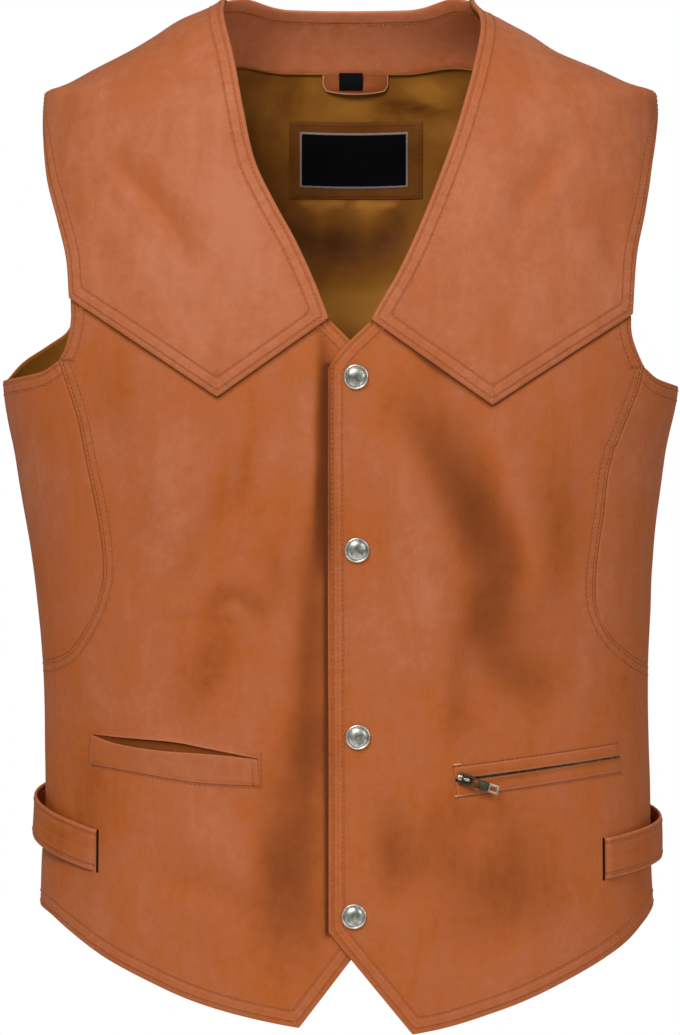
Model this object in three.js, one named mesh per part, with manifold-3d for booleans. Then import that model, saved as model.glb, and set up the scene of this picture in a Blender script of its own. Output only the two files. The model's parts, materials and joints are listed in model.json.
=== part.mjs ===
// A western-cut leather waistcoat, men's size M, filled out as worn. Millimetres, +Z up.
// The front faces -Y and the wearer's left is +X. The origin lies midway between the two
// shoulders, at the height where the middle of each shoulder seam rests on the wearer.
import * as THREE from "three";
import { mergeVertices } from "three/addons/utils/BufferGeometryUtils.js";
import Module from "manifold-3d";

// Thicknesses and clearances of the cloth.
const LEATHER = 1.6;
const YOKE_RISE = 0.9;
const FACING = 1.2;
const LINING = 1.0;
const LABEL = 1.0;
const TRIM = 1.4;
const SEAM_GAP = 0.3;
const EDGE_INSET = 0.2;
const LAY_GAP = 0.5;
const RAY_START = 30;
const LAP_SHIFT = 1.1;
const LAP_FADE = 70;

// How square the torso's level sections are: 2 is an ellipse.
const ROUNDNESS = 2.3;

// The torso form, which is the leather's outer face: half-widths to the wearer's right and
// left of the centre line, and depths to the front and back of the shoulder line. Above the
// shoulder tips the half-widths follow the shoulder seams up to the neck.
const SECTIONS = [
  { z: 40, right: 74, left: 72, front: 46, back: 55 },
  { z: 31, right: 77.5, left: 75.5, front: 50, back: 60 },
  { z: 26, right: 84, left: 78, front: 53, back: 64 },
  { z: 16, right: 106.5, left: 95, front: 60, back: 72 },
  { z: 6, right: 122, left: 113.5, front: 66, back: 79 },
  { z: -4, right: 138.5, left: 129, front: 71, back: 84 },
  { z: -14, right: 158, left: 152.5, front: 75, back: 88 },
  { z: -24, right: 176.5, left: 174.5, front: 79, back: 91 },
  { z: -28.5, right: 188, left: 188.5, front: 81, back: 92.5 },
  { z: -48, right: 190, left: 190, front: 89, back: 97 },
  { z: -80, right: 196, left: 195, front: 98, back: 103 },
  { z: -120, right: 205, left: 199, front: 107, back: 106 },
  { z: -160, right: 213, left: 203, front: 115, back: 109 },
  { z: -206, right: 215, left: 203.5, front: 119, back: 109 },
  { z: -255, right: 207, left: 194.5, front: 119, back: 106 },
  { z: -330, right: 195, left: 186.5, front: 116, back: 100 },
  { z: -405, right: 189, left: 184.5, front: 114, back: 97 },
  { z: -465, right: 188.5, left: 186, front: 115, back: 100 },
  { z: -505, right: 191, left: 186.5, front: 117, back: 104 },
  { z: -535, right: 192, left: 188, front: 118, back: 106 },
  { z: -620, right: 194, left: 190, front: 119, back: 108 },
];

// Points on each side of the body, as the front view shows them: x is the distance outwards
// from the centre line, and a negative x is past it, where the two fronts overlap.
const HIGH_SHOULDER_Z = 31;
const SHOULDER_TIP_Z = -28.5;
const UNDERARM_Z = { right: -205.5, left: -209 };
const SIDE_PANEL_FOOT_Z = { right: -378, left: -381 };
const SIDE_HEM_Z = -529;
const BACK_HEM_DROP = 12;
const BACK_NECK_Z = 30;
const BACK_NECK_RISE = { height: 4.5, reach: 0.36 };

// The neck's front edge, from the high shoulder point down to the yoke's front end.
const NECK_EDGE = {
  right: [
    { x: 78, z: 20 }, { x: 71, z: -11 }, { x: 65, z: -43 }, { x: 57.8, z: -75 },
    { x: 46, z: -100 }, { x: 33, z: -124 }, { x: 22, z: -148 },
  ],
  left: [
    { x: 80.5, z: 15 }, { x: 75.3, z: -16 }, { x: 69.5, z: -38 }, { x: 63.4, z: -58 },
    { x: 47, z: -102.5 }, { x: 29.4, z: -142 }, { x: 19, z: -160 },
  ],
};
const YOKE_FRONT_END = { right: { x: 13.2, z: -170.5 }, left: { x: 12.6, z: -171.5 } };
const YOKE_POINT = { right: { x: 79.6, z: -217.4 }, left: { x: 84.7, z: -222.2 } };
const YOKE_AT_ARMHOLE = { right: { x: 169.5, z: -157 }, left: { x: 170.5, z: -166.5 } };
const OPENING_BEND = { x: -6, z: -190 };
const OPENING_TOP = { x: -13.5, z: -200.5 };
const OPENING_FOOT = { x: -13, z: -538 };

// The armhole's edge on the front, above and below the yoke's seam.
const ARMHOLE_BY_YOKE = {
  right: [{ x: 188.6, z: -48 }, { x: 184.9, z: -83 }, { x: 177.9, z: -108.5 }, { x: 171.8, z: -132 }],
  left: [{ x: 188.9, z: -42 }, { x: 186.1, z: -64 }, { x: 180.2, z: -98.5 }, { x: 173.3, z: -130 }],
};
const ARMHOLE_BY_FRONT = {
  right: [{ x: 169.4, z: -171 }, { x: 173.1, z: -187.5 }],
  left: [{ x: 171, z: -178 }, { x: 173.4, z: -186 }],
};
const SIDE_SEAM_TOP = { right: { x: 177, z: -194.5 }, left: { x: 179, z: -198 } };
const UNDERARM = {
  right: [{ x: 186, z: -200.5 }, { x: 199, z: -203.6 }],
  left: [{ x: 187, z: -204.5 }, { x: 196, z: -207.5 }],
};
const BACK_UNDERARM = {
  right: [{ x: 206, z: -193 }, { x: 192.3, z: -182.5 }],
  left: [{ x: 193, z: -206 }, { x: 182, z: -199.5 }],
};
const BACK_ARMHOLE_FOOT = { right: { x: 179, z: -173 }, left: { x: 173.5, z: -190 } };
const BACK_ARMHOLE = {
  right: [{ x: 173.5, z: -158 }, { x: 174, z: -135 }, { x: 179, z: -100 }, { x: 186, z: -60 }],
  left: [{ x: 169, z: -170 }, { x: 170, z: -138 }, { x: 176, z: -100 }, { x: 185, z: -60 }],
};
const BLADE_ROW_Z = -178;

// The curved seam between front and side panel, from below the armhole to its foot.
const SIDE_PANEL_SEAM = {
  right: [
    { x: 174, z: -203 }, { x: 165.6, z: -228 }, { x: 158.9, z: -258.5 },
    { x: 152.8, z: -289.5 }, { x: 149.8, z: -312.5 }, { x: 149.9, z: -328 },
  ],
  left: [
    { x: 176, z: -210 }, { x: 164.2, z: -238.5 }, { x: 157.4, z: -257 },
    { x: 153.1, z: -289.5 }, { x: 148.9, z: -320.5 }, { x: 148.9, z: -343 },
  ],
};
const SIDE_PANEL_CORNER = { right: { x: 155, z: -346.5 }, left: { x: 153.3, z: -354.5 } };
const SIDE_PANEL_FOOT = {
  right: [{ x: 162.7, z: -360.5 }, { x: 171.1, z: -371.5 }, { x: 181, z: -376.5 }],
  left: [{ x: 158.5, z: -362 }, { x: 164.9, z: -368.5 }, { x: 175, z: -376 }],
};

// The front hem, from the tip of the point out to the side seam.
const HEM_TIP = { right: { x: 31, z: -595.5 }, left: { x: 37.5, z: -599.5 } };
const HEM_FRONT = {
  right: [
    { x: 50, z: -592 }, { x: 74, z: -586.5 }, { x: 98.5, z: -579 }, { x: 122.5, z: -568.8 },
    { x: 147.5, z: -556.8 }, { x: 160, z: -549 }, { x: 173, z: -540 }, { x: 184, z: -532.5 },
  ],
  left: [
    { x: 57.5, z: -595.5 }, { x: 81.5, z: -588.5 }, { x: 105.5, z: -580.2 }, { x: 130, z: -569.3 },
    { x: 155, z: -556.5 }, { x: 168, z: -548.2 }, { x: 181, z: -536.5 },
  ],
};

// The largest folds, as soft ridges, or troughs where the height is negative. Those on the
// front follow the photograph; those on the back are like them. x is to the wearer's left.
const FOLDS = [
  { face: "front", x1: -27, z1: -185, x2: -30, z2: -570, width: 13, height: -4.5 },
  { face: "front", x1: 40, z1: -215, x2: 62, z2: -400, width: 20, height: 3.5 },
  { face: "front", x1: 62, z1: -225, x2: 108, z2: -420, width: 17, height: -5 },
  { face: "front", x1: 108, z1: -240, x2: 132, z2: -390, width: 15, height: 2.5 },
  { face: "front", x1: -60, z1: -225, x2: -118, z2: -350, width: 13, height: -3.5 },
  { face: "front", x1: -70, z1: -380, x2: -20, z2: -330, width: 14, height: -2.5 },
  { face: "front", x1: -155, z1: -45, x2: -92, z2: -135, width: 12, height: -3.5 },
  { face: "front", x1: 158, z1: -40, x2: 106, z2: -118, width: 12, height: -3.5 },
  { face: "front", x1: -140, z1: -470, x2: -50, z2: -520, width: 20, height: 2 },
  { face: "front", x1: 30, z1: -500, x2: 110, z2: -540, width: 18, height: 2 },
  { face: "back", x1: -120, z1: -120, x2: -60, z2: -330, width: 22, height: -3.5 },
  { face: "back", x1: 125, z1: -130, x2: 55, z2: -350, width: 20, height: -3 },
  { face: "back", x1: -95, z1: -330, x2: -20, z2: -420, width: 18, height: -3 },
  { face: "back", x1: 30, z1: -390, x2: 120, z2: -430, width: 16, height: 2.5 },
  { face: "back", x1: 0, z1: -300, x2: 8, z2: -520, width: 30, height: 2.5 },
];
const FOLD_FADE = 0.4;

// Steps along each seam. Two panels that meet share the same steps.
const STEPS = {
  yokeFrontLeg: 7,
  yokeBackLeg: 9,
  point: 4,
  sideSeam: 6,
  panelFoot: 5,
  panelSeam: 10,
  underYoke: 3,
  yokeRise: 11,
  shoulder: 8,
  backNeck: 12,
  backUnderarm: 4,
  backArmhole: 9,
};

// What lies on the panels.
const SNAP_RADIUS = 7.6;
const SNAP_HEIGHT = 3.2;
const SNAPS = [
  { name: "snap_cap_1", x: 3.3, z: -206 },
  { name: "snap_cap_2", x: 3.9, z: -309.5 },
  { name: "snap_cap_3", x: 4.5, z: -421.5 },
  { name: "snap_cap_4", x: 2.1, z: -528.5 },
];
const WELT_POCKET = { x1: -158.5, z1: -431, x2: -55, z2: -442, height: 17, gape: 2.6 };
const ZIP_POCKET = { x1: 63, z1: -447.5, x2: 162.5, z2: -435.5 };
const ZIP_OPENING = 3.4;
const ZIP_UPPER_WELT = 7;
const ZIP_LOWER_WELT = 8;
const ZIP_TAPE = 1;
const STRAP_WIDTH = 23;
const STRAP_THICKNESS = 2.2;
const STRAPS = [
  { name: "side_strap_right", side: "right", slotX: 153.5, slotZ: -492, sideZ: -472, backZ: -456, stand: 5 },
  { name: "side_strap_left", side: "left", slotX: 153.5, slotZ: -497, sideZ: -486, backZ: -470, stand: 5 },
];
const STRAP_BACK_ANGLE = 128;
const STRAP_END_FLAT = 0.12;
const STRAP_END_RISE = 0.4;
const FACING_ROWS = 2;
const LABEL_PATCH = { x: 4, z: -61.5, width: 86, height: 49 };
const WOVEN_LABEL = { x: 2.6, z: -61, width: 69, height: 34.5 };
const HANGER = { x: 3.7, z: -12.5, width: 42, height: 13.3, bow: 2.5 };
const SIZE_TAB = { x: 0.6, z: -11.3, width: 15, height: 10.5 };

// The zip's slider and pull, in a frame that turns down from the zip's line.
const SLIDER = { x: 68.5, z: -447, turn: -19, length: 9.5, width: 7, plate: 2, corner: 1.8, lift: 0.9 };
const CROWN = { length: 7, width: 1.6, height: 2.8, bar: 0.8, corner: 1, foot: 0.5 };
const PULL = { length: 20, width: 5.6, thickness: 0.9, corner: 1, window: 5.4, rail: 1.2, lean: 4 };
const PULL_EYE = { fromEnd: 4, length: 3, corner: 0.6 };
const PULL_BAR = { along: 1.6, above: 1 };

const COLOURS = {
  leather: 0xb0613a,
  facing: 0x9a5230,
  lining: 0x7a5216,
  label: 0x0d0d14,
  metal: 0xa9a594,
  zip: 0x5a5444,
};

const DEGREE = Math.PI / 180;

/** A smooth step from 0 to 1 as t goes from 0 to 1. */
function smooth(t) {
  const c = Math.min(1, Math.max(0, t));
  return c * c * (3 - 2 * c);
}

/** A smooth curve through one column of a table whose rows fall in z, without overshoot. */
function columnCurve(rows, column) {
  const z = rows.map((row) => row.z);
  const value = rows.map((row) => row[column]);
  const slope = z.slice(1).map((_, i) => (value[i + 1] - value[i]) / (z[i + 1] - z[i]));
  const tangent = value.map((_, i) => {
    if (i === 0) return slope[0];
    if (i === slope.length) return slope[i - 1];
    if (slope[i - 1] * slope[i] <= 0) return 0;
    return (2 * slope[i - 1] * slope[i]) / (slope[i - 1] + slope[i]);
  });
  return (at) => {
    const level = Math.min(z[0], Math.max(z[z.length - 1], at));
    let i = 0;
    while (i < slope.length - 1 && level < z[i + 1]) i += 1;
    const span = z[i + 1] - z[i];
    const t = (level - z[i]) / span;
    const rise = 3 * t * t - 2 * t * t * t;
    return (
      value[i] * (1 - rise) +
      value[i + 1] * rise +
      span * (tangent[i] * t * (1 - t) ** 2 - tangent[i + 1] * t * t * (1 - t))
    );
  };
}

const halfWidth = { right: columnCurve(SECTIONS, "right"), left: columnCurve(SECTIONS, "left") };
const depth = { front: columnCurve(SECTIONS, "front"), back: columnCurve(SECTIONS, "back") };
const sides = ["right", "left"];
const sign = { right: -1, left: 1 };

/** A place on the form: the angle round the body, 0 at the centre front and 90 degrees at
 * the wearer's left side, and the height. */
function place(angle, z) {
  return { angle, z };
}

/** The place on the front, or on the back, that lies at x when seen from the front. */
function placeAt(x, z, face = "front") {
  const width = halfWidth[x < 0 ? "right" : "left"](z);
  const turn = Math.asin(Math.min(1, Math.abs(x) / width) ** (ROUNDNESS / 2));
  return place(Math.sign(x) * (face === "front" ? turn : Math.PI - turn), z);
}

/** The point of the smooth form at a place. */
function formPoint({ angle, z }) {
  const across = Math.sin(angle);
  const ahead = Math.cos(angle);
  const power = 2 / ROUNDNESS;
  return new THREE.Vector3(
    Math.sign(across) * halfWidth[across < 0 ? "right" : "left"](z) * Math.abs(across) ** power,
    (ahead > 0 ? -depth.front(z) : depth.back(z)) * Math.abs(ahead) ** power,
    z,
  );
}

/** The form's outward direction at a place. */
function formNormal({ angle, z }) {
  const step = 1e-3;
  const round = formPoint(place(angle + step, z)).sub(formPoint(place(angle - step, z)));
  const up = formPoint(place(angle, z + step)).sub(formPoint(place(angle, z - step)));
  return round.cross(up).normalize();
}

/** How far the folds move the cloth out at a place. */
function foldHeight({ angle, z }) {
  const face = Math.cos(angle) > 0 ? "front" : "back";
  const point = formPoint({ angle, z });
  const fade = smooth(Math.abs(Math.cos(angle)) / FOLD_FADE);
  return FOLDS.filter((fold) => fold.face === face).reduce((sum, fold) => {
    const run = new THREE.Vector2(fold.x2 - fold.x1, fold.z2 - fold.z1);
    const from = new THREE.Vector2(point.x - fold.x1, z - fold.z1);
    const along = from.dot(run) / run.lengthSq();
    if (along <= 0 || along >= 1) return sum;
    const away = from.cross(run) / run.length();
    return sum + fade * fold.height * Math.sin(Math.PI * along) * Math.exp(-((away / fold.width) ** 2));
  }, 0);
}

/** How far a front moves out, or in for the wearer's right one, where the two overlap. */
function lapShift({ angle, z }, side) {
  if (!side || Math.cos(angle) < 0) return 0;
  const fromEdge = sign[side] * formPoint({ angle, z }).x - OPENING_TOP.x;
  return sign[side] * LAP_SHIFT * (1 - smooth(fromEdge / LAP_FADE));
}

/** The point that lies lift outside the cloth's outer face at a place of one front's side. */
function skin(at, lift = 0, side = null) {
  const out = foldHeight(at) + lapShift(at, side) + lift;
  return formPoint(at).addScaledVector(formNormal(at), out);
}

/** A named mesh of one finish. */
function piece(name, geometry, finish) {
  const metal = finish === "metal" || finish === "zip";
  const material = new THREE.MeshStandardMaterial({
    color: COLOURS[finish],
    roughness: finish === "lining" ? 0.35 : 0.5,
    metalness: metal ? 1 : 0,
  });
  const mesh = new THREE.Mesh(geometry, material);
  mesh.name = name;
  return mesh;
}

/** A closed wall between the outer and inner points of a grid. A grid may have gaps: a cell
 * is walled where it has all four corners. */
function wallGeometry(outer, inner) {
  const points = [];
  const [front, rear] = [outer, inner].map((layer) =>
    layer.map((row) => row.map((point) => (point ? points.push(point) - 1 : undefined))),
  );
  const faces = [];
  const edges = new Map();
  const quad = (a, b, c, d) => faces.push(a, b, c, a, c, d);
  const border = (from, to, wall) => {
    if (!edges.delete(`${to} ${from}`)) edges.set(`${from} ${to}`, wall);
  };
  for (let i = 0; i + 1 < outer.length; i += 1)
    for (let j = 0; j + 1 < outer[i].length; j += 1) {
      const corners = [[i, j], [i, j + 1], [i + 1, j + 1], [i + 1, j]];
      if (corners.some(([row, column]) => front[row][column] === undefined)) continue;
      const [f, r] = [front, rear].map((layer) => corners.map(([row, column]) => layer[row][column]));
      quad(...f);
      quad(r[0], r[3], r[2], r[1]);
      corners.forEach((_, k) => {
        const next = (k + 1) % 4;
        border(f[k], f[next], [f[k], r[k], r[next], f[next]]);
      });
    }
  for (const wall of edges.values()) quad(...wall);
  const geometry = new THREE.BufferGeometry().setFromPoints(points);
  geometry.setIndex(volumeOf(points, faces) < 0 ? faces.reverse() : faces);
  geometry.computeVertexNormals();
  return geometry;
}

/** The signed volume inside a closed list of faces. */
function volumeOf(points, faces) {
  let volume = 0;
  for (let f = 0; f < faces.length; f += 3) {
    const [a, b, c] = [points[faces[f]], points[faces[f + 1]], points[faces[f + 2]]];
    volume += a.dot(new THREE.Vector3().crossVectors(b, c)) / 6;
  }
  return volume;
}

/** The wall over a grid of places, between two lifts given as numbers or functions. */
function clothWall(grid, outerLift, innerLift, side = null) {
  const lift = (value, i, j) => (typeof value === "function" ? value(i, j) : value);
  const layer = (value) => grid.map((row, i) => row.map((at, j) => at && skin(at, lift(value, i, j), side)));
  return wallGeometry(layer(outerLift), layer(innerLift));
}

/** Places spaced evenly along a smooth curve through points seen from the front. */
function alongCurve(points, steps, face = "front") {
  const curve = new THREE.CatmullRomCurve3(
    points.map(({ x, z }) => new THREE.Vector3(x, 0, z)),
    false,
    "centripetal",
  );
  return curve.getSpacedPoints(steps).map((p) => placeAt(p.x, p.z, face));
}

/** One list of places from several that follow each other end to end. */
function chain(...parts) {
  return parts.flatMap((part, i) => (i ? part.slice(1) : part));
}

/** The rows of a panel whose four sides are lists of places, bottom and top from left to
 * right, left and right from bottom to top. The sides are laid out flat about the angle at
 * the panel's middle line. */
function panelGrid(bottom, top, left, right, middle = 0) {
  const columns = bottom.length - 1;
  const rows = left.length - 1;
  const girth = (turn, z) => halfWidth[(middle ? -turn : turn) < 0 ? "right" : "left"](z);
  const flat = ({ angle, z }) => new THREE.Vector2((angle - middle) * girth(angle - middle, z), z);
  const [b, t, l, r] = [bottom, top, left, right].map((side) => side.map(flat));
  const mix = (p, q, share) => p.clone().lerp(q, share);
  return l.map((_, i) =>
    b.map((_, j) => {
      const [u, v] = [j / columns, i / rows];
      const corners = mix(mix(b[0], b[columns], u), mix(t[0], t[columns], u), v);
      const spot = mix(b[j], t[j], v).add(mix(l[i], r[i], u)).sub(corners);
      return place(middle + spot.x / girth(spot.x, spot.y), spot.y);
    }),
  );
}

/** The same grid with each edge stood back by half a seam gap and a little more. */
function withSeamGap(grid) {
  const has = (i, j) => Boolean(grid[i]?.[j]);
  const inward = (before, after) => Number(after && !before) - Number(before && !after);
  return grid.map((row, i) =>
    row.map((at, j) => {
      if (!at) return at;
      const toRow = i + inward(has(i - 1, j), has(i + 1, j));
      const toColumn = j + inward(has(i, j - 1), has(i, j + 1));
      return [grid[toRow][j], grid[i][toColumn]].reduce((moved, toward) => {
        if (toward === at) return moved;
        const share = EDGE_INSET / formPoint(at).distanceTo(formPoint(toward));
        return place(moved.angle + (toward.angle - at.angle) * share, moved.z + (toward.z - at.z) * share);
      }, at);
    }),
  );
}

/** Points of one side's table, as the front view shows them. */
function onSide(side, ...points) {
  return points.flat().map(({ x, z }) => ({ x: sign[side] * x, z }));
}

/** Places up one side seam between two heights. */
function sideSeam(side, fromZ, toZ, steps) {
  return Array.from({ length: steps + 1 }, (_, i) =>
    place(sign[side] * 90 * DEGREE, fromZ + ((toZ - fromZ) * i) / steps),
  );
}

/** The seams of one side of the body, each a list of places, named for what it joins. Those
 * that run down in a table are turned round, so that every seam runs outwards or upwards. */
function seamsOf(side) {
  const at = (table) => table[side];
  const up = (table) => [...table[side]].reverse();
  const edgeAt = (z) => ({ x: halfWidth[side](z), z });
  const seam = (steps, ...points) => alongCurve(onSide(side, ...points), steps);
  const behind = (steps, ...points) => alongCurve(onSide(side, ...points), steps, "back");
  const tip = edgeAt(SHOULDER_TIP_Z);
  const underarmEnd = edgeAt(at(UNDERARM_Z));
  const panelFootEnd = edgeAt(at(SIDE_PANEL_FOOT_Z));
  const edgeSteps = STEPS.sideSeam + STEPS.panelFoot + STEPS.panelSeam;
  const yokeSteps = STEPS.yokeFrontLeg + STEPS.yokeBackLeg;
  return {
    openingEdge: seam(edgeSteps, OPENING_FOOT, OPENING_TOP),
    openingToYoke: seam(STEPS.underYoke, OPENING_TOP, OPENING_BEND, at(YOKE_FRONT_END)),
    yokeFrontLeg: seam(STEPS.yokeFrontLeg, at(YOKE_FRONT_END), at(YOKE_POINT)),
    yokeBackLeg: seam(STEPS.yokeBackLeg, at(YOKE_POINT), at(YOKE_AT_ARMHOLE)),
    hemPoint: seam(STEPS.point, OPENING_FOOT, at(HEM_TIP)),
    hem: seam(yokeSteps - STEPS.point, at(HEM_TIP), at(HEM_FRONT), edgeAt(SIDE_HEM_Z)),
    lowerSide: sideSeam(side, SIDE_HEM_Z, at(SIDE_PANEL_FOOT_Z), STEPS.sideSeam),
    upperSide: sideSeam(side, at(SIDE_PANEL_FOOT_Z), at(UNDERARM_Z), STEPS.panelSeam),
    panelFoot: seam(STEPS.panelFoot, panelFootEnd, up(SIDE_PANEL_FOOT), at(SIDE_PANEL_CORNER)),
    panelSeam: seam(STEPS.panelSeam, at(SIDE_PANEL_CORNER), up(SIDE_PANEL_SEAM), at(SIDE_SEAM_TOP)),
    underarm: seam(STEPS.panelFoot, underarmEnd, up(UNDERARM), at(SIDE_SEAM_TOP)),
    armholeToYoke: seam(STEPS.underYoke, at(SIDE_SEAM_TOP), up(ARMHOLE_BY_FRONT), at(YOKE_AT_ARMHOLE)),
    yokeArmhole: seam(STEPS.yokeRise, at(YOKE_AT_ARMHOLE), up(ARMHOLE_BY_YOKE), tip),
    yokeNeck: seam(STEPS.yokeRise, at(YOKE_FRONT_END), up(NECK_EDGE), edgeAt(HIGH_SHOULDER_Z)),
    shoulder: sideSeam(side, HIGH_SHOULDER_Z, SHOULDER_TIP_Z, yokeSteps),
    backUnderarm: behind(STEPS.backUnderarm, underarmEnd, at(BACK_UNDERARM), at(BACK_ARMHOLE_FOOT)),
    backArmhole: behind(STEPS.backArmhole, at(BACK_ARMHOLE_FOOT), at(BACK_ARMHOLE), tip),
  };
}

/** The front below the yoke, from the opening's edge round to the side panel and side seam. */
function frontBody(side, seams) {
  const grid = panelGrid(
    chain(seams.hemPoint, seams.hem),
    chain(seams.yokeFrontLeg, seams.yokeBackLeg),
    chain(seams.openingEdge, seams.openingToYoke),
    chain(seams.lowerSide, seams.panelFoot, seams.panelSeam, seams.armholeToYoke),
  );
  return piece(`front_body_${side}`, clothWall(withSeamGap(grid), 0, -LEATHER, side), "leather");
}

/** The pointed yoke, from its seam up to the shoulder. */
function frontYoke(side, seams) {
  const grid = panelGrid(
    chain(seams.yokeFrontLeg, seams.yokeBackLeg),
    seams.shoulder,
    seams.yokeNeck,
    seams.yokeArmhole,
  );
  return piece(`front_yoke_${side}`, clothWall(withSeamGap(grid), YOKE_RISE, -LEATHER, side), "leather");
}

/** The curved panel under the arm. */
function sidePanel(side, seams) {
  const grid = panelGrid(seams.panelFoot, seams.underarm, seams.upperSide, seams.panelSeam);
  return piece(`side_panel_${side}`, clothWall(withSeamGap(grid), 0, -LEATHER, side), "leather");
}

/** Places across the back from one angle to another, whose heights run evenly from end to
 * end, dip at the centre and may rise near each end. */
function acrossBack(from, to, dip, steps, rise = { height: 0, reach: 1 }) {
  return Array.from({ length: steps + 1 }, (_, i) => {
    const share = i / steps;
    const fromEnd = Math.min(1, Math.min(share, 1 - share) / rise.reach);
    const sag = dip * 4 * share * (1 - share) - rise.height * Math.sin(Math.PI * fromEnd) ** 2;
    return place(from.angle + (to.angle - from.angle) * share, from.z + (to.z - from.z) * share - sag);
  });
}

/** The places of the whole back, from side seam to side seam and up to the shoulders and neck.
 * Its rows below the underarms are wider than those between the armholes. */
function backPlaces(seams) {
  const everySecond = (places) => places.filter((_, i) => i % 2 === 0);
  const onward = (angle) => (angle > 0 ? angle - 360 * DEGREE : angle);
  const unbroken = (places) => places.map(({ angle, z }) => place(onward(angle), z));
  const of = (name) => sides.map((side) => unbroken(seams[side][name]));
  const last = (places) => places[places.length - 1];
  const [rightShoulder, leftShoulder] = of("shoulder").map(everySecond);
  const [rightUnderarm, leftUnderarm] = of("backUnderarm");
  const [rightArmhole, leftArmhole] = of("backArmhole");
  const [rightSide, leftSide] = sides.map((side) =>
    unbroken(chain(seams[side].lowerSide, seams[side].upperSide)),
  );
  const middleSteps = STEPS.backNeck + 2 * STEPS.shoulder;
  const [footRight, footLeft] = [last(rightUnderarm), last(leftUnderarm)];
  const bladeDip = (footRight.z + footLeft.z) / 2 - BLADE_ROW_Z;
  const blades = acrossBack(footRight, footLeft, bladeDip, middleSteps);
  const lower = panelGrid(
    acrossBack(rightSide[0], leftSide[0], BACK_HEM_DROP, middleSteps + 2 * STEPS.backUnderarm),
    chain(rightUnderarm, blades, [...leftUnderarm].reverse()),
    rightSide,
    leftSide,
    -180 * DEGREE,
  );
  const neckDip = HIGH_SHOULDER_Z - BACK_NECK_Z;
  const neck = acrossBack(rightShoulder[0], leftShoulder[0], neckDip, STEPS.backNeck, BACK_NECK_RISE);
  const upper = panelGrid(
    blades,
    chain([...rightShoulder].reverse(), neck, leftShoulder),
    rightArmhole,
    leftArmhole,
    -180 * DEGREE,
  );
  const missing = Array(STEPS.backUnderarm).fill(undefined);
  return [...lower, ...upper.slice(1).map((row) => [...missing, ...row, ...missing])];
}

/** The back's two halves, which meet at the seam down its middle. */
function backHalves(places) {
  const middle = (places[0].length - 1) / 2;
  const halves = { right: [0, middle + 1], left: [middle] };
  return sides.map((side) => {
    const half = places.map((row) => row.slice(...halves[side]));
    return piece(`back_${side}`, clothWall(withSeamGap(half), 0, -LEATHER), "leather");
  });
}

/** A wall on the inside of the back, made from those of the back's own points that keep
 * passes, moved in. */
function behindBack(places, keep, thickness) {
  const grid = places.map((row, i) => row.map((at, j) => (keep(i, j) ? at : undefined)));
  const outside = -LEATHER - SEAM_GAP;
  return clothWall(withSeamGap(grid), outside, outside - thickness);
}

/** The leather band inside the back of the neck. */
function neckFacing(places) {
  const rows = places.length - 1;
  const end = STEPS.backUnderarm + STEPS.shoulder;
  const keep = (i, j) => i >= rows - FACING_ROWS && j >= end && j <= end + STEPS.backNeck;
  return piece("neck_facing", behindBack(places, keep, FACING), "facing");
}

/** The satin lining of the back, one step in from its edges and up to the neck facing. */
function backLining(places) {
  const rows = places.length - 1;
  const has = (i, j) => Boolean(places[i]?.[j]);
  const inside = (i, j) => has(i - 1, j) && has(i + 1, j) && has(i, j - 1) && has(i, j + 1);
  const keep = (i, j) => inside(i, j) && has(i + 1, j + 1) && has(i + 1, j - 1) && i <= rows - FACING_ROWS;
  return piece("back_lining", behindBack(places, keep, LINING), "lining");
}

/** Where a line through a place, square to the form, first meets the given meshes, coming
 * from outside the body or from inside it. */
function meet(meshes, at, fromInside = false) {
  const normal = formNormal(at);
  const start = formPoint(at).addScaledVector(normal, fromInside ? -RAY_START : RAY_START);
  const ray = new THREE.Raycaster(start, fromInside ? normal : normal.clone().negate());
  const [hit] = ray.intersectObjects(meshes, false);
  if (!hit) throw new Error(`nothing lies at ${at.angle} and ${at.z}`);
  return hit.point;
}

/** A wall that lies on the given meshes, between two distances off them. */
function wallOn(meshes, grid, near, far, fromInside = false) {
  const value = (distance, i, j) => (typeof distance === "function" ? distance(i, j) : distance);
  const base = grid.map((row) => row.map((at) => meet(meshes, at, fromInside)));
  const layer = (distance) =>
    base.map((row, i) =>
      row.map((point, j) => {
        const out = value(distance, i, j) * (fromInside ? -1 : 1);
        return point.clone().addScaledVector(formNormal(grid[i][j]), out);
      }),
    );
  return wallGeometry(layer(near), layer(far));
}

/** A rectangle of cloth on the inside of the back, centred at x, z, as a grid of places. */
function backRectangle({ x, z, width, height }, columns, rows) {
  return Array.from({ length: rows + 1 }, (_, i) =>
    Array.from({ length: columns + 1 }, (_, j) =>
      placeAt(x + width * (j / columns - 0.5), z + height * (i / rows - 0.5), "back"),
    ),
  );
}

/** The leather patch, the blank woven label on it, the hanger and the size tab. */
function labelsInside(backing) {
  const on = (below, spec, columns, rows, near, far) =>
    wallOn(below, backRectangle(spec, columns, rows), near, far, true);
  const patch = piece("label_patch", on(backing, LABEL_PATCH, 10, 3, SEAM_GAP, SEAM_GAP + FACING), "facing");
  const label = piece("woven_label", on([patch], WOVEN_LABEL, 8, 3, SEAM_GAP, SEAM_GAP + LABEL), "label");
  const columns = 12;
  const bow = (j) => SEAM_GAP + HANGER.bow * Math.sin((Math.PI * j) / columns);
  const loop = on(backing, HANGER, columns, 2, (_, j) => bow(j), (_, j) => bow(j) + FACING);
  const hanger = piece("hanger_loop", loop, "facing");
  const tab = piece("size_tab", on([hanger], SIZE_TAB, 4, 3, SEAM_GAP, SEAM_GAP + LABEL), "label");
  return [patch, label, hanger, tab];
}

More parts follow.
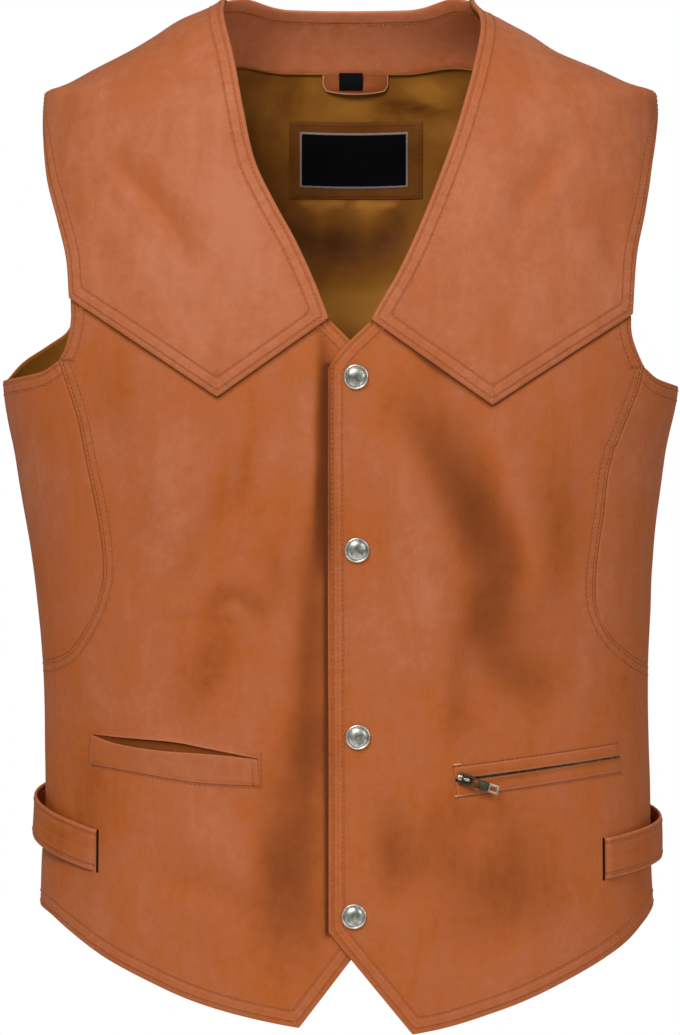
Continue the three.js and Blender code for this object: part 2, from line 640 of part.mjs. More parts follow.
/** A strip that lies on a front, as a grid of places, between two heights above its line. */
function stripOnFront({ x1, z1, x2, z2 }, low, high, columns, rows) {
  const run = new THREE.Vector2(x2 - x1, z2 - z1);
  const across = new THREE.Vector2(-run.y, run.x).normalize();
  return Array.from({ length: rows + 1 }, (_, i) =>
    Array.from({ length: columns + 1 }, (_, j) => {
      const rise = low + ((high - low) * i) / rows;
      const share = j / columns;
      return placeAt(x1 + run.x * share + across.x * rise, z1 + run.y * share + across.y * rise);
    }),
  );
}

/** The open pocket's welt, whose upper edge stands away from the front in the middle. */
function weltPocket(front) {
  const columns = 16;
  const rows = 4;
  const half = WELT_POCKET.height / 2;
  const grid = stripOnFront(WELT_POCKET, -half, half, columns, rows);
  const gape = (i, j) => WELT_POCKET.gape * Math.sin((Math.PI * j) / columns) * (i / rows) ** 2;
  const near = (i, j) => LAY_GAP + gape(i, j);
  const wall = wallOn([front], grid, near, (i, j) => near(i, j) + TRIM);
  return piece("pocket_welt_right", wall, "leather");
}

/** The zip pocket's two welts and the tape between them. */
function zipPocket(front) {
  const half = ZIP_OPENING / 2;
  const columns = 14;
  const strip = (low, high, thick, rows) =>
    wallOn([front], stripOnFront(ZIP_POCKET, low, high, columns, rows), LAY_GAP, LAY_GAP + thick);
  return [
    piece("zip_welt_upper", strip(half, half + ZIP_UPPER_WELT, TRIM, 2), "leather"),
    piece("zip_welt_lower", strip(-half - ZIP_LOWER_WELT, -half, TRIM, 2), "leather"),
    piece("zip_tape", strip(SEAM_GAP - half, half - SEAM_GAP, ZIP_TAPE, 1), "zip"),
  ];
}

/** A waist strap from its slot in the front, round the side, to its end on the back. */
function sideStrap({ name, side, slotX, slotZ, sideZ, backZ, stand }, panels) {
  const columns = 20;
  const rows = 2;
  const slot = Math.abs(placeAt(slotX, slotZ).angle) / DEGREE;
  const angleAt = (share) => slot + (STRAP_BACK_ANGLE - slot) * share;
  const sideShare = (90 - slot) / (STRAP_BACK_ANGLE - slot);
  const levelAt = (share) =>
    share < sideShare
      ? slotZ + (sideZ - slotZ) * (share / sideShare)
      : sideZ + (backZ - sideZ) * ((share - sideShare) / (1 - sideShare));
  const grid = Array.from({ length: rows + 1 }, (_, i) =>
    Array.from({ length: columns + 1 }, (_, j) => {
      const share = j / columns;
      const level = levelAt(share) + STRAP_WIDTH * (i / rows - 0.5);
      return place(sign[side] * angleAt(share) * DEGREE, level);
    }),
  );
  const near = (_, j) => {
    const share = j / columns;
    const fromEnd = 1 - share - STRAP_END_FLAT;
    const rise = smooth(share < sideShare ? share / sideShare : fromEnd / STRAP_END_RISE);
    return SEAM_GAP + stand * rise;
  };
  const wall = wallOn(panels, grid, near, (i, j) => near(i, j) + STRAP_THICKNESS);
  return piece(name, wall, "leather");
}

/** A domed snap cap with a rolled rim, on the overlap. */
function snapCap({ name, x, z }, front) {
  const profile = [
    [0, 0],
    [SNAP_RADIUS - 0.7, 0],
    [SNAP_RADIUS, 0.7],
    [SNAP_RADIUS - 0.3, 1.7],
    [SNAP_RADIUS - 1.4, 2.2],
    [SNAP_RADIUS * 0.6, SNAP_HEIGHT - 0.35],
    [SNAP_RADIUS * 0.3, SNAP_HEIGHT - 0.08],
    [0, SNAP_HEIGHT],
  ].map(([r, h]) => new THREE.Vector2(r, h));
  const cap = piece(name, new THREE.LatheGeometry(profile, 22), "metal");
  const at = placeAt(x, z);
  const out = formNormal(at);
  cap.position.copy(meet([front], at)).addScaledVector(out, SEAM_GAP);
  cap.quaternion.setFromUnitVectors(new THREE.Vector3(0, 1, 0), out);
  return cap;
}

/** The frame in which the slider and its pull are drawn: X along them, Z out of the cloth. */
function sliderFrame(tape) {
  const at = placeAt(SLIDER.x, SLIDER.z);
  const out = formNormal(at);
  const across = new THREE.Vector3(0, 0, 1).cross(out).normalize();
  const along = across.applyAxisAngle(out, SLIDER.turn * DEGREE).normalize();
  const basis = new THREE.Matrix4().makeBasis(along, out.clone().cross(along), out);
  const frame = new THREE.Group();
  frame.position.copy(meet([tape], at)).addScaledVector(out, SLIDER.lift);
  frame.quaternion.setFromRotationMatrix(basis);
  return frame;
}

/** A flat rounded outline, extruded upwards. */
function plate(outline, holes, thickness) {
  const shape = new THREE.Shape(outline.map(([x, y]) => new THREE.Vector2(x, y)));
  shape.holes = holes.map((hole) => new THREE.Path(hole.map(([x, y]) => new THREE.Vector2(x, y))));
  return new THREE.ExtrudeGeometry(shape, { depth: thickness, bevelEnabled: false });
}

/** The corners of a rectangle, or of one with its corners cut, about a centre. */
function rectangle(x, width, height, cut = 0) {
  const [a, b] = [width / 2, height / 2];
  if (!cut) return [[x - a, -b], [x + a, -b], [x + a, b], [x - a, b]];
  return [
    [x - a + cut, -b], [x + a - cut, -b], [x + a, -b + cut], [x + a, b - cut],
    [x + a - cut, b], [x - a + cut, b], [x - a, b - cut], [x - a, -b + cut],
  ];
}

/** The slider's plate with the crown that holds the pull, joined into one solid. */
async function zipSlider() {
  const wasm = await Module();
  wasm.setup();
  const solid = (geometry) => {
    geometry.deleteAttribute("normal");
    geometry.deleteAttribute("uv");
    const merged = mergeVertices(geometry, 1e-4);
    return new wasm.Manifold(
      new wasm.Mesh({
        numProp: 3,
        vertProperties: merged.attributes.position.array,
        triVerts: new Uint32Array(merged.index.array),
      }),
    );
  };
  const base = plate(rectangle(0, SLIDER.length, SLIDER.width, SLIDER.corner), [], SLIDER.plate);
  const half = CROWN.length / 2;
  const { height, foot, corner } = CROWN;
  const crownOutline = [
    [-half, -foot], [half, -foot], [half, height - corner], [half - corner, height],
    [corner - half, height], [-half, height - corner],
  ];
  const inside = half - CROWN.bar;
  const underBar = height - CROWN.bar;
  const crownHole = [[-inside, 0], [-inside, underBar], [inside, underBar], [inside, 0]];
  const crown = plate(crownOutline, [crownHole], CROWN.width);
  crown.translate(0, 0, -CROWN.width / 2).rotateX(90 * DEGREE).translate(0, 0, SLIDER.plate);
  const joined = solid(base).add(solid(crown)).getMesh();
  const geometry = new THREE.BufferGeometry();
  geometry.setAttribute("position", new THREE.BufferAttribute(joined.vertProperties, joined.numProp));
  geometry.setIndex(new THREE.BufferAttribute(joined.triVerts, 1));
  geometry.computeVertexNormals();
  return piece("zip_slider", geometry, "zip");
}

/** The pull tab: a window whose end bar lies in the crown, and a square eye at the far end. */
function zipPull() {
  const bar = PULL.thickness / 2;
  const centre = PULL.length / 2 - bar;
  const inner = PULL.width - 2 * PULL.rail;
  const window = rectangle(bar + PULL.window / 2, PULL.window, inner);
  const eye = rectangle(PULL.length - PULL_EYE.fromEnd, PULL_EYE.length, inner, PULL_EYE.corner);
  const outline = rectangle(centre, PULL.length, PULL.width, PULL.corner);
  const tab = plate(outline, [window, eye], PULL.thickness).translate(0, 0, -bar);
  const pull = piece("zip_pull", tab, "zip");
  pull.position.set(PULL_BAR.along, 0, SLIDER.plate + PULL_BAR.above);
  pull.rotation.y = PULL.lean * DEGREE;
  return pull;
}

const seams = { right: seamsOf("right"), left: seamsOf("left") };
const fronts = Object.fromEntries(sides.map((side) => [side, frontBody(side, seams[side])]));
const yokes = sides.map((side) => frontYoke(side, seams[side]));
const sidePanels = sides.map((side) => sidePanel(side, seams[side]));
const wholeBack = backPlaces(seams);
const backs = backHalves(wholeBack);
const inside = [neckFacing(wholeBack), backLining(wholeBack)];
const zipPieces = zipPocket(fronts.left);
const zip = sliderFrame(zipPieces[2]);
zip.add(await zipSlider(), zipPull());

const waistcoat = new THREE.Group();
waistcoat.add(
  ...Object.values(fronts),
  ...yokes,
  ...sidePanels,
  ...backs,
  ...inside,
  ...labelsInside(inside),
  weltPocket(fronts.right),
  ...zipPieces,
  zip,
  ...SNAPS.map((snap) => snapCap(snap, fronts.left)),
  ...STRAPS.map((strap) => sideStrap(strap, [fronts[strap.side], ...backs])),
);

export default waistcoat;
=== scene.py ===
"""A western-cut leather waistcoat, men's size M, filled out as worn, dressed for its looks.

Sizes are in millimetres, in the frame of the waistcoat's solids: +Z up, the front towards -Y,
the wearer's left at +X and the origin midway between the shoulders. Meshes are made in metres.
"""

import json
import logging
import math
from collections.abc import Callable, Iterable, Sequence
from dataclasses import dataclass, field
from enum import Enum

import bmesh
import bpy
import numpy as np
from mathutils import Matrix, Vector, kdtree, noise

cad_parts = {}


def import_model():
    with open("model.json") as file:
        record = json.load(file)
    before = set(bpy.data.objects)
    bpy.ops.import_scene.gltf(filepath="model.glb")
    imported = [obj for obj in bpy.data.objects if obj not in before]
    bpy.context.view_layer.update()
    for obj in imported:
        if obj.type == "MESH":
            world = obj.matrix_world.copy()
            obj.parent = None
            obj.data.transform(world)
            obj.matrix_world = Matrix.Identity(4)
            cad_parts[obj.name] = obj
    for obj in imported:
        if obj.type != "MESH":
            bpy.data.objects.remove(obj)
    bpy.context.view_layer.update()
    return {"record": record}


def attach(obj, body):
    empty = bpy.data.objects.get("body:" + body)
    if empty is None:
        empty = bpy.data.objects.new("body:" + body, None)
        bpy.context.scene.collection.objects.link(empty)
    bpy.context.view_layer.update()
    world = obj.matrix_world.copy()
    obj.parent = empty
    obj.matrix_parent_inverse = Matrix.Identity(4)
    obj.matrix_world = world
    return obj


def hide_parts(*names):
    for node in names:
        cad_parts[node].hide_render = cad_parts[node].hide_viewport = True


Array = np.ndarray
Point = tuple[float, float]
Colour = tuple[float, float, float]

LOG = logging.getLogger("waistcoat")
MM = 0.001
VEST_BODY = "vest"
PULL_BODY = "pull"
NEAR = 9.0
FAR = 80.0
NO_ROWS = (FAR, FAR)
STRAP_ROW = 2.2


class Side(Enum):
    """A side of the body, with the sign of its x."""

    RIGHT = -1
    LEFT = 1

    @property
    def word(self) -> str:
        """The side's word in the pieces' names."""
        return self.name.lower()


class Face(Enum):
    """The way a part of the body faces."""

    FRONT = "front"
    BACK = "back"


class Slot(Enum):
    """The record's material slots."""

    LEATHER = "leather"
    LINING = "lining"
    LABEL = "label"
    TAPE = "tape"
    ZIP = "zip_metal"
    SNAP = "snap_metal"


def smooth(value: Array | float) -> Array:
    """A smooth step from 0 to 1 as the value goes from 0 to 1."""
    t = np.clip(value, 0.0, 1.0)
    return t * t * (3 - 2 * t)


def unit(vectors: Array) -> Array:
    """The vectors made one long."""
    return vectors / np.maximum(np.linalg.norm(vectors, axis=-1, keepdims=True), 1e-9)


def travelled(line: Array) -> Array:
    """The distance along a line of points, at each of them."""
    return np.concatenate([[0], np.cumsum(np.linalg.norm(np.diff(line, axis=0), axis=1))])


def curve_through(points: Sequence[Point], steps: int) -> Array:
    """Points spaced evenly along a smooth curve.

    Args:
        points: the points that the curve passes through.
        steps: how many equal steps it is cut into.

    Returns:
        An array of steps + 1 points.
    """
    knots = np.array(points, float)
    if len(knots) == 2:
        return np.linspace(knots[0], knots[1], steps + 1)
    first = 2 * knots[0] - knots[1]
    last = 2 * knots[-1] - knots[-2]
    padded = np.vstack([first, knots, last])
    dense = []
    share = np.linspace(0, 1, 40, endpoint=False)[:, None]
    for a, b, c, d in zip(padded, padded[1:], padded[2:], padded[3:]):
        gaps = [max(np.linalg.norm(q - p), 1e-6) ** 0.5 for p, q in ((a, b), (b, c), (c, d))]
        t0, t1 = 0.0, gaps[0]
        t2, t3 = t1 + gaps[1], t1 + gaps[1] + gaps[2]
        t = t1 + (t2 - t1) * share
        ab = (t1 - t) / (t1 - t0) * a + (t - t0) / (t1 - t0) * b
        bc = (t2 - t) / (t2 - t1) * b + (t - t1) / (t2 - t1) * c
        cd = (t3 - t) / (t3 - t2) * c + (t - t2) / (t3 - t2) * d
        abc = (t2 - t) / (t2 - t0) * ab + (t - t0) / (t2 - t0) * bc
        bcd = (t3 - t) / (t3 - t1) * bc + (t - t1) / (t3 - t1) * cd
        dense.append((t2 - t) / (t2 - t1) * abc + (t - t1) / (t2 - t1) * bcd)
    line = np.vstack([*dense, knots[-1:]])
    run = travelled(line)
    at = np.linspace(0, run[-1], steps + 1)
    return np.stack([np.interp(at, run, line[:, k]) for k in range(line.shape[1])], axis=1)


@dataclass(frozen=True)
class Section:
    """One level section of the torso form: half-widths to each side, depths front and back."""

    z: float
    right: float
    left: float
    front: float
    back: float


class SmoothColumn:
    """A smooth curve through one column of the sections, without overshoot."""

    def __init__(self, sections: Sequence[Section], name: str) -> None:
        """Works out the slopes of the curve at the sections.

        Args:
            sections: the sections, from the top down.
            name: the column's name.
        """
        self.z = np.array([s.z for s in sections])
        self.value = np.array([getattr(s, name) for s in sections])
        slope = np.diff(self.value) / np.diff(self.z)
        product = slope[:-1] * slope[1:]
        with np.errstate(divide="ignore", invalid="ignore"):
            inner = np.where(product > 0, 2 * product / (slope[:-1] + slope[1:]), 0.0)
        self.tangent = np.concatenate([slope[:1], inner, slope[-1:]])

    def __call__(self, z: Array) -> Array:
        """Reads the curve.

        Args:
            z: heights; past the ends, the end sections hold.

        Returns:
            The column's value at each height.
        """
        level = np.clip(z, self.z[-1], self.z[0])
        i = np.clip(np.searchsorted(-self.z, -level, side="left") - 1, 0, len(self.z) - 2)
        span = self.z[i + 1] - self.z[i]
        t = (level - self.z[i]) / span
        rise = 3 * t**2 - 2 * t**3
        bend = self.tangent[i] * t * (1 - t) ** 2 - self.tangent[i + 1] * t**2 * (1 - t)
        return self.value[i] * (1 - rise) + self.value[i + 1] * rise + span * bend


@dataclass
class TorsoForm:
    """The smooth form that the waistcoat is filled out to. A place on it is an angle round the
    body, 0 at the centre front and a quarter turn at the wearer's left, and a height."""

    roundness: float = 2.3
    normal_step: float = 1e-3
    sections: tuple[Section, ...] = (
        Section(40, 74, 72, 46, 55),
        Section(31, 77.5, 75.5, 50, 60),
        Section(26, 84, 78, 53, 64),
        Section(16, 106.5, 95, 60, 72),
        Section(6, 122, 113.5, 66, 79),
        Section(-4, 138.5, 129, 71, 84),
        Section(-14, 158, 152.5, 75, 88),
        Section(-24, 176.5, 174.5, 79, 91),
        Section(-28.5, 188, 188.5, 81, 92.5),
        Section(-48, 190, 190, 89, 97),
        Section(-80, 196, 195, 98, 103),
        Section(-120, 205, 199, 107, 106),
        Section(-160, 213, 203, 115, 109),
        Section(-206, 215, 203.5, 119, 109),
        Section(-255, 207, 194.5, 119, 106),
        Section(-330, 195, 186.5, 116, 100),
        Section(-405, 189, 184.5, 114, 97),
        Section(-465, 188.5, 186, 115, 100),
        Section(-505, 191, 186.5, 117, 104),
        Section(-535, 192, 188, 118, 106),
        Section(-620, 194, 190, 119, 108),
    )

    def __post_init__(self) -> None:
        """Makes the smooth columns."""
        names = ("right", "left", "front", "back")
        self.right, self.left, self.front, self.back = (SmoothColumn(self.sections, n) for n in names)

    def half_width(self, turn: Array, z: Array) -> Array:
        """The half-width at the heights z, on the side that the sign of turn says."""
        return np.where(np.asarray(turn) < 0, self.right(z), self.left(z))

    def point(self, places: Array) -> Array:
        """The points of the form at the places.

        Args:
            places: angles and heights, in the last axis.

        Returns:
            Their x, y and z.
        """
        angle, z = places[..., 0], places[..., 1]
        across, ahead = np.sin(angle), np.cos(angle)
        power = 2 / self.roundness
        depth = np.where(ahead > 0, -self.front(z), self.back(z))
        x = np.sign(across) * self.half_width(across, z) * np.abs(across) ** power
        return np.stack([x, depth * np.abs(ahead) ** power, z], axis=-1)

    def normal(self, places: Array) -> Array:
        """The form's outward directions at the places."""
        turn = np.array([self.normal_step, 0.0])
        lift = np.array([0.0, self.normal_step])
        round_body = self.point(places + turn) - self.point(places - turn)
        up = self.point(places + lift) - self.point(places - lift)
        return unit(np.cross(round_body, up))

    def place_at(self, x: Array, z: Array, face: Face = Face.FRONT) -> Array:
        """The places that lie at x and z when seen from the front.

        Args:
            x: distances to the wearer's left of the centre line.
            z: heights.
            face: whether the places are on the front or on the back.

        Returns:
            The places.
        """
        x, z = np.broadcast_arrays(np.asarray(x, float), np.asarray(z, float))
        share = np.minimum(1, np.abs(x) / self.half_width(x, z)) ** (self.roundness / 2)
        turn = np.arcsin(share)
        turn = turn if face is Face.FRONT else math.pi - turn
        return np.stack([np.where(x < 0, -1, 1) * turn, z], axis=-1)


@dataclass(frozen=True)
class Crease:
    """A soft trough, or a ridge where the height is positive, along a smooth line that is seen
    from one face. The lean makes the side to the right of the line steeper. The tone is
    painted highlight where it is positive and painted shade where it is negative; a crease
    with no height is painted light alone."""

    face: Face
    path: tuple[Point, ...]
    width: float
    height: float = 0.0
    lean: float = 0.0
    tone: float = 0.0
    steps: int = 26
    fade_power: float = 0.8
    shoulder_at: float = 2.0
    shoulder_width: float = 0.9

    def shape(self, seen: Array, spread: float = 1.0, shoulder: float = 0.0) -> Array:
        """The crease's profile, 1 along its middle.

        Args:
            seen: the cloth's points as x and z, one row each.
            spread: how much wider than the crease the profile is.
            shoulder: how far it swings the other way beside the crease.

        Returns:
            One value for each row.
        """
        line = curve_through(self.path, self.steps)
        lo, hi = line.min(axis=0) - 4 * self.width, line.max(axis=0) + 4 * self.width
        near = np.all((seen > lo) & (seen < hi), axis=1)
        out = np.zeros(len(seen))
        points = seen[near]
        if not len(points):
            return out
        best = np.full(len(points), np.inf)
        side = np.zeros(len(points))
        along = np.zeros(len(points))
        for k, (a, b) in enumerate(zip(line, line[1:])):
            run = b - a
            share = np.clip((points - a) @ run / (run @ run), 0, 1)
            away = points - a - share[:, None] * run
            distance = np.hypot(away[:, 0], away[:, 1])
            closer = distance < best
            best = np.where(closer, distance, best)
            side = np.where(closer, np.sign(away[:, 0] * run[1] - away[:, 1] * run[0]), side)
            along = np.where(closer, (k + share) / self.steps, along)
        reach = best / (self.width * spread) / np.where(side > 0, 1 - self.lean, 1 + self.lean)
        beside = np.exp(-(((reach - self.shoulder_at) / self.shoulder_width) ** 2))
        out[near] = np.sin(math.pi * along) ** self.fade_power * (np.exp(-(reach**2)) - shoulder * beside)
        return out


def creases(face: Face, *rows: tuple) -> tuple[Crease, ...]:
    """The creases that are seen from one face, each from a row of its path and its sizes."""
    return tuple(Crease(face, *row) for row in rows)


# Each row: the path, the width, the height, the lean and the tone, which is painted shade where negative and
# painted highlight where positive.
FRONT_CREASES = creases(
    Face.FRONT,
    (((-16, -170), (-16.5, -240), (-17.5, -330)), 4.5, -3.0, 0.2, -4.2),
    (((-19, -262), (-22, -340), (-26, -400), (-26, -460)), 11, -2.6, 0.2, -2.4),
    (((-24, -400), (-32, -466), (-34, -520), (-26, -580)), 21, -2.2, -0.1, -2.0),
    (((-46, -470), (-42, -508), (-46, -546)), 12, -0.6, 0, -0.6),
    (((-70, -246), (-84, -284), (-100, -316), (-116, -344)), 8, -1.5, 0.3, -1.1),
    (((-56, -226), (-62, -262), (-68, -296)), 7, -0.8, 0.0, -0.9),
    (((-124, -352), (-90, -350), (-58, -354)), 4, -0.6, 0, -0.5),
    (((-92, -346), (-70, -338), (-58, -346), (-48, -360)), 6, -1.6, 0.2, -1.4),
    (((-60, -348), (-80, -374), (-92, -396), (-110, -424)), 17, -1.6, -0.2, -1.2),
    (((-50, -300), (-44, -330), (-48, -352)), 10, -1.0, 0, -1.2),
    (((-142, -186), (-136, -250), (-134, -305), (-140, -352)), 13, -0.8, 0, -0.5),
    (((-104, -225), (-108, -270), (-98, -320)), 15, 1.0, 0, 0.9),
    (((-136, -466), (-96, -478), (-56, -496)), 14, 1.2, 0, 0.7),
    (((-122, -512), (-88, -510), (-56, -530)), 9, -1.0, 0, -0.7),
    (((-112, -460), (-108, -490), (-114, -515)), 8, -0.6, 0, -0.5),
    (((-166, -390), (-156, -460), (-164, -530)), 17, -1.2, 0, -0.8),
    (((-152, -64), (-134, -84), (-110, -112), (-90, -146)), 7, -2.2, 0.25, -1.7),
    (((-150, -96), (-128, -130), (-112, -160)), 10, 1.0, 0, 0.6),
    (((-156, -36), (-122, -30), (-90, -20)), 14, 0, 0, -1.6),
    (((-170, -60), (-166, -90), (-158, -120)), 7, 0.6, 0, -0.8),
    (((-72, -60), (-80, -110), (-76, -156)), 13, 1.2, 0, 0.7),
    (((-128, -150), (-122, -176), (-112, -196)), 8, -0.5, 0, -0.9),
    (((-158, -176), (-148, -204), (-152, -244)), 15, -0.8, 0, -0.7),
    (((22, -204), (50, -246), (72, -284), (88, -322), (84, -368)), 19, -3.8, 0.15, -2.7),
    (((78, -326), (80, -362), (98, -384), (134, -404)), 16, -2.2, 0.2, -1.8),
    (((48, -256), (74, -318), (100, -374), (138, -400)), 32, 0, 0, -0.6),
    (((36, -420), (84, -470), (100, -552)), 40, 0, 0, -0.9),
    (((84, -226), (102, -272), (112, -318), (106, -350)), 8, 2.0, 0, 1.5),
    (((20, -236), (42, -306), (46, -392)), 14, 1.8, 0, 1.0),
    (((122, -222), (128, -290), (122, -366)), 15, -1.0, 0, -1.2),
    (((62, -352), (64, -400), (62, -432)), 9, -0.5, 0, -1.2),
    (((150, -244), (157, -248), (164, -247)), 2.6, -0.9, 0, -0.45),
    (((10, -478), (62, -500), (126, -486)), 20, -1.6, 0.2, -0.8),
    (((42, -548), (92, -526), (146, -514)), 21, -1.4, 0, -0.9),
    (((84, -470), (80, -490), (88, -506)), 9, 0.8, 0, 0.7),
    (((18, -452), (26, -490), (20, -530)), 12, -0.8, 0, -1.2),
    (((138, -52), (120, -80), (104, -104), (92, -128)), 8, -2.2, -0.2, -1.6),
    (((66, -10), (96, -24), (110, -34)), 12, 0, 0, -1.4),
    (((150, -96), (158, -124), (152, -152)), 8, -1.0, 0, -0.9),
    (((84, -60), (78, -100), (88, -150)), 12, 1.2, 0, 0.6),
    (((90, -156), (93, -180), (92, -200)), 6, -0.7, 0, -0.8),
    (((70, -204), (56, -198), (36, -192)), 9, 0, 0, -1.0),
)
# Each row: the path, the width, the height, the lean and the tone, which is painted shade where negative and
# painted highlight where positive.
BACK_CREASES = creases(
    Face.BACK,
    (((-128, -110), (-98, -190), (-74, -268), (-58, -335)), 15, -3.4, 0.2, -1.8),
    (((130, -120), (96, -206), (70, -290), (52, -352)), 14, -3.0, -0.2, -1.6),
    (((-96, -330), (-60, -366), (-24, -424)), 11, -2.6, 0.2, -1.6),
    (((26, -388), (70, -410), (122, -432)), 12, 2.2, 0, 0.9),
    (((24, -300), (34, -400), (30, -520)), 16, 1.8, 0, 0.6),
    (((-150, -420), (-96, -448), (-36, -452)), 7, -1.8, 0.2, -1.4),
    (((150, -446), (104, -470), (40, -462)), 8, -2.0, -0.2, -1.5),
    (((-70, -36), (-30, -54), (-8, -50)), 10, -1.6, 0, -1.1),
    (((10, -60), (50, -48), (84, -58)), 9, -1.3, 0, -0.9),
    (((-150, -60), (-118, -92), (-96, -140)), 9, -2.0, 0, -1.5),
    (((154, -62), (124, -100), (102, -152)), 9, -2.2, 0, -1.6),
    (((-120, -480), (-90, -510), (-84, -536)), 11, 1.6, 0, 0.6),
    (((96, -476), (78, -504), (84, -534)), 11, 1.4, 0, 0.6),
    (((-52, -130), (-56, -200), (-48, -270)), 16, 1.4, 0, 0.8),
    (((48, -110), (52, -180), (44, -260)), 16, 1.5, 0, 0.8),
    (((-16, -380), (-14, -440), (-20, -500)), 8, -1.4, 0, -1.0),
    (((140, -240), (128, -310), (136, -380)), 10, -1.4, 0, -1.2),
    (((-142, -250), (-130, -330), (-140, -390)), 10, -1.4, 0, -1.2),
)
# The lining's own creases; their tone is painted shade where negative and painted highlight where positive,
# as on the puckers under the patch.
LINING_CREASES = creases(
    Face.BACK,
    (((-36, -130), (-4, -136), (20, -131), (44, -112)), 8, -1.8, 0.3, 0.0),
    (((-48, -104), (-16, -114), (12, -115), (44, -98)), 11, 0, 0, -2.3),
    (((-44, -152), (-10, -156), (16, -152), (42, -134)), 12, 0, 0, 1.8),
    (((-16, -86), (-18, -106), (-15, -128)), 5, -1.0, 0, 0.5),
    (((10, -86), (12, -106), (8, -126)), 5, -1.0, 0, 0.5),
    (((-34, -89), (-18, -91), (-2, -89)), 1.7, -0.9, 0, 3.4),
    (((2, -89.5), (16, -91.5), (32, -89)), 1.7, -0.9, 0, 3.6),
    (((16, -26), (44, -29), (72, -34)), 2.6, -1.3, 0.3, -1.6),
    (((30, -14), (52, -19), (72, -22)), 7, -0.8, 0, 1.7),
    (((-16, -26), (2, -29), (18, -28)), 6, -0.5, 0, 0.9),
    (((-66, -20), (-62, -70), (-46, -120)), 11, -0.8, 0, -1.5),
    (((72, -50), (60, -90), (44, -122)), 8, -0.8, 0, -1.5),
)


@dataclass
class Folds:
    """All the creases of the cloth, and its slight unevenness everywhere."""

    form: TorsoForm
    creases: tuple[Crease, ...]
    shoulder: float = 0.3
    tone_spread: float = 1.15
    tone_limit: float = 4.0
    # Painted shade, stronger towards the body's sides.
    side_tone: float = -0.45
    side_fade: float = 0.4
    wobble: float = 0.5
    wobble_scale: float = 0.022

    def shaped(self, places: Array, weight: Callable[[Crease], float], *profile: float) -> Array:
        """Adds up the creases.

        Args:
            places: the places.
            weight: what each crease's profile is multiplied by.
            profile: the spread and the shoulder of the profiles.

        Returns:
            The sum at each place.
        """
        flat = places.reshape(-1, 2)
        point = self.form.point(flat)
        ahead = np.cos(flat[:, 0])
        fade = smooth(np.abs(ahead) / self.side_fade)
        out = np.zeros(len(flat))
        for crease in self.creases:
            faces = ahead > 0 if crease.face is Face.FRONT else ahead <= 0
            if weight(crease):
                out[faces] += weight(crease) * fade[faces] * crease.shape(point[faces][:, [0, 2]], *profile)
        return out.reshape(places.shape[:-1])

    def relief(self, places: Array) -> Array:
        """How far the creases move the cloth out at the places."""
        return self.shaped(places, lambda crease: crease.height, 1.0, self.shoulder)

    def tone(self, places: Array) -> Array:
        """The painted shade and highlight that the creases put on the cloth at the places, with painted shade
        towards the body's sides.
        """
        sides = self.side_tone * (1 - np.abs(np.cos(places[..., 0]))) ** 1.4
        total = self.shaped(places, lambda crease: crease.tone, self.tone_spread)
        return sides + self.tone_limit * np.tanh(total / self.tone_limit)

    def unevenness(self, points: Array) -> Array:
        """The cloth's slight waves at points of the form."""
        flat = points.reshape(-1, 3) * self.wobble_scale
        values = [noise.noise(Vector(p)) + 0.4 * noise.noise(Vector(p) * 2.3) for p in flat]
        return self.wobble * np.array(values).reshape(points.shape[:-1])


@dataclass
class LiningFolds(Folds):
    """The folds of the back's lining: the leather's, and its own, which only stand inwards."""

    own: tuple[Crease, ...] = LINING_CREASES

    def relief(self, places: Array) -> Array:
        """How far the creases move the lining out at the places."""
        return super().relief(places) + Folds(self.form, self.own, 0.0).relief(places)

    def tone(self, places: Array) -> Array:
        """The painted shade and highlight that the lining's own creases put on it."""
        return Folds(self.form, self.own, side_tone=0.0, tone_limit=6.0).tone(places)


@dataclass
class Cloth:
    """The surface that every panel is laid on: the form, its folds and the fronts' overlap."""

    form: TorsoForm
    folds: Folds
    lap_shift: float = 1.1
    lap_fade: float = 70
    opening_x: float = -13.5

    def lap(self, places: Array, side: Side | None) -> Array:
        """Works out how far a front moves where the two overlap.

        Args:
            places: the places.
            side: the front, where they are on one.

        Returns:
            The distance out, which is negative on the wearer's right front.
        """
        if side is None:
            return np.zeros(places.shape[:-1])
        from_edge = side.value * self.form.point(places)[..., 0] - self.opening_x
        shift = side.value * self.lap_shift * (1 - smooth(from_edge / self.lap_fade))
        return np.where(np.cos(places[..., 0]) < 0, 0, shift)

    def points(self, places: Array, lift: Array | float = 0.0, side: Side | None = None) -> Array:
        """The points that lie lift outside the cloth's outer face.

        Args:
            places: the places.
            lift: the distance out, one for all or one for each place.
            side: the front that the places are on, where they are on one.

        Returns:
            The points.
        """
        base = self.form.point(places)
        out = self.folds.relief(places) + self.folds.unevenness(base) + self.lap(places, side) + lift
        return base + self.form.normal(places) * out[..., None]


def chain(*parts: Array) -> Array:
    """One list of places from several that follow each other end to end."""
    return np.vstack([part if k == 0 else part[1:] for k, part in enumerate(parts)])


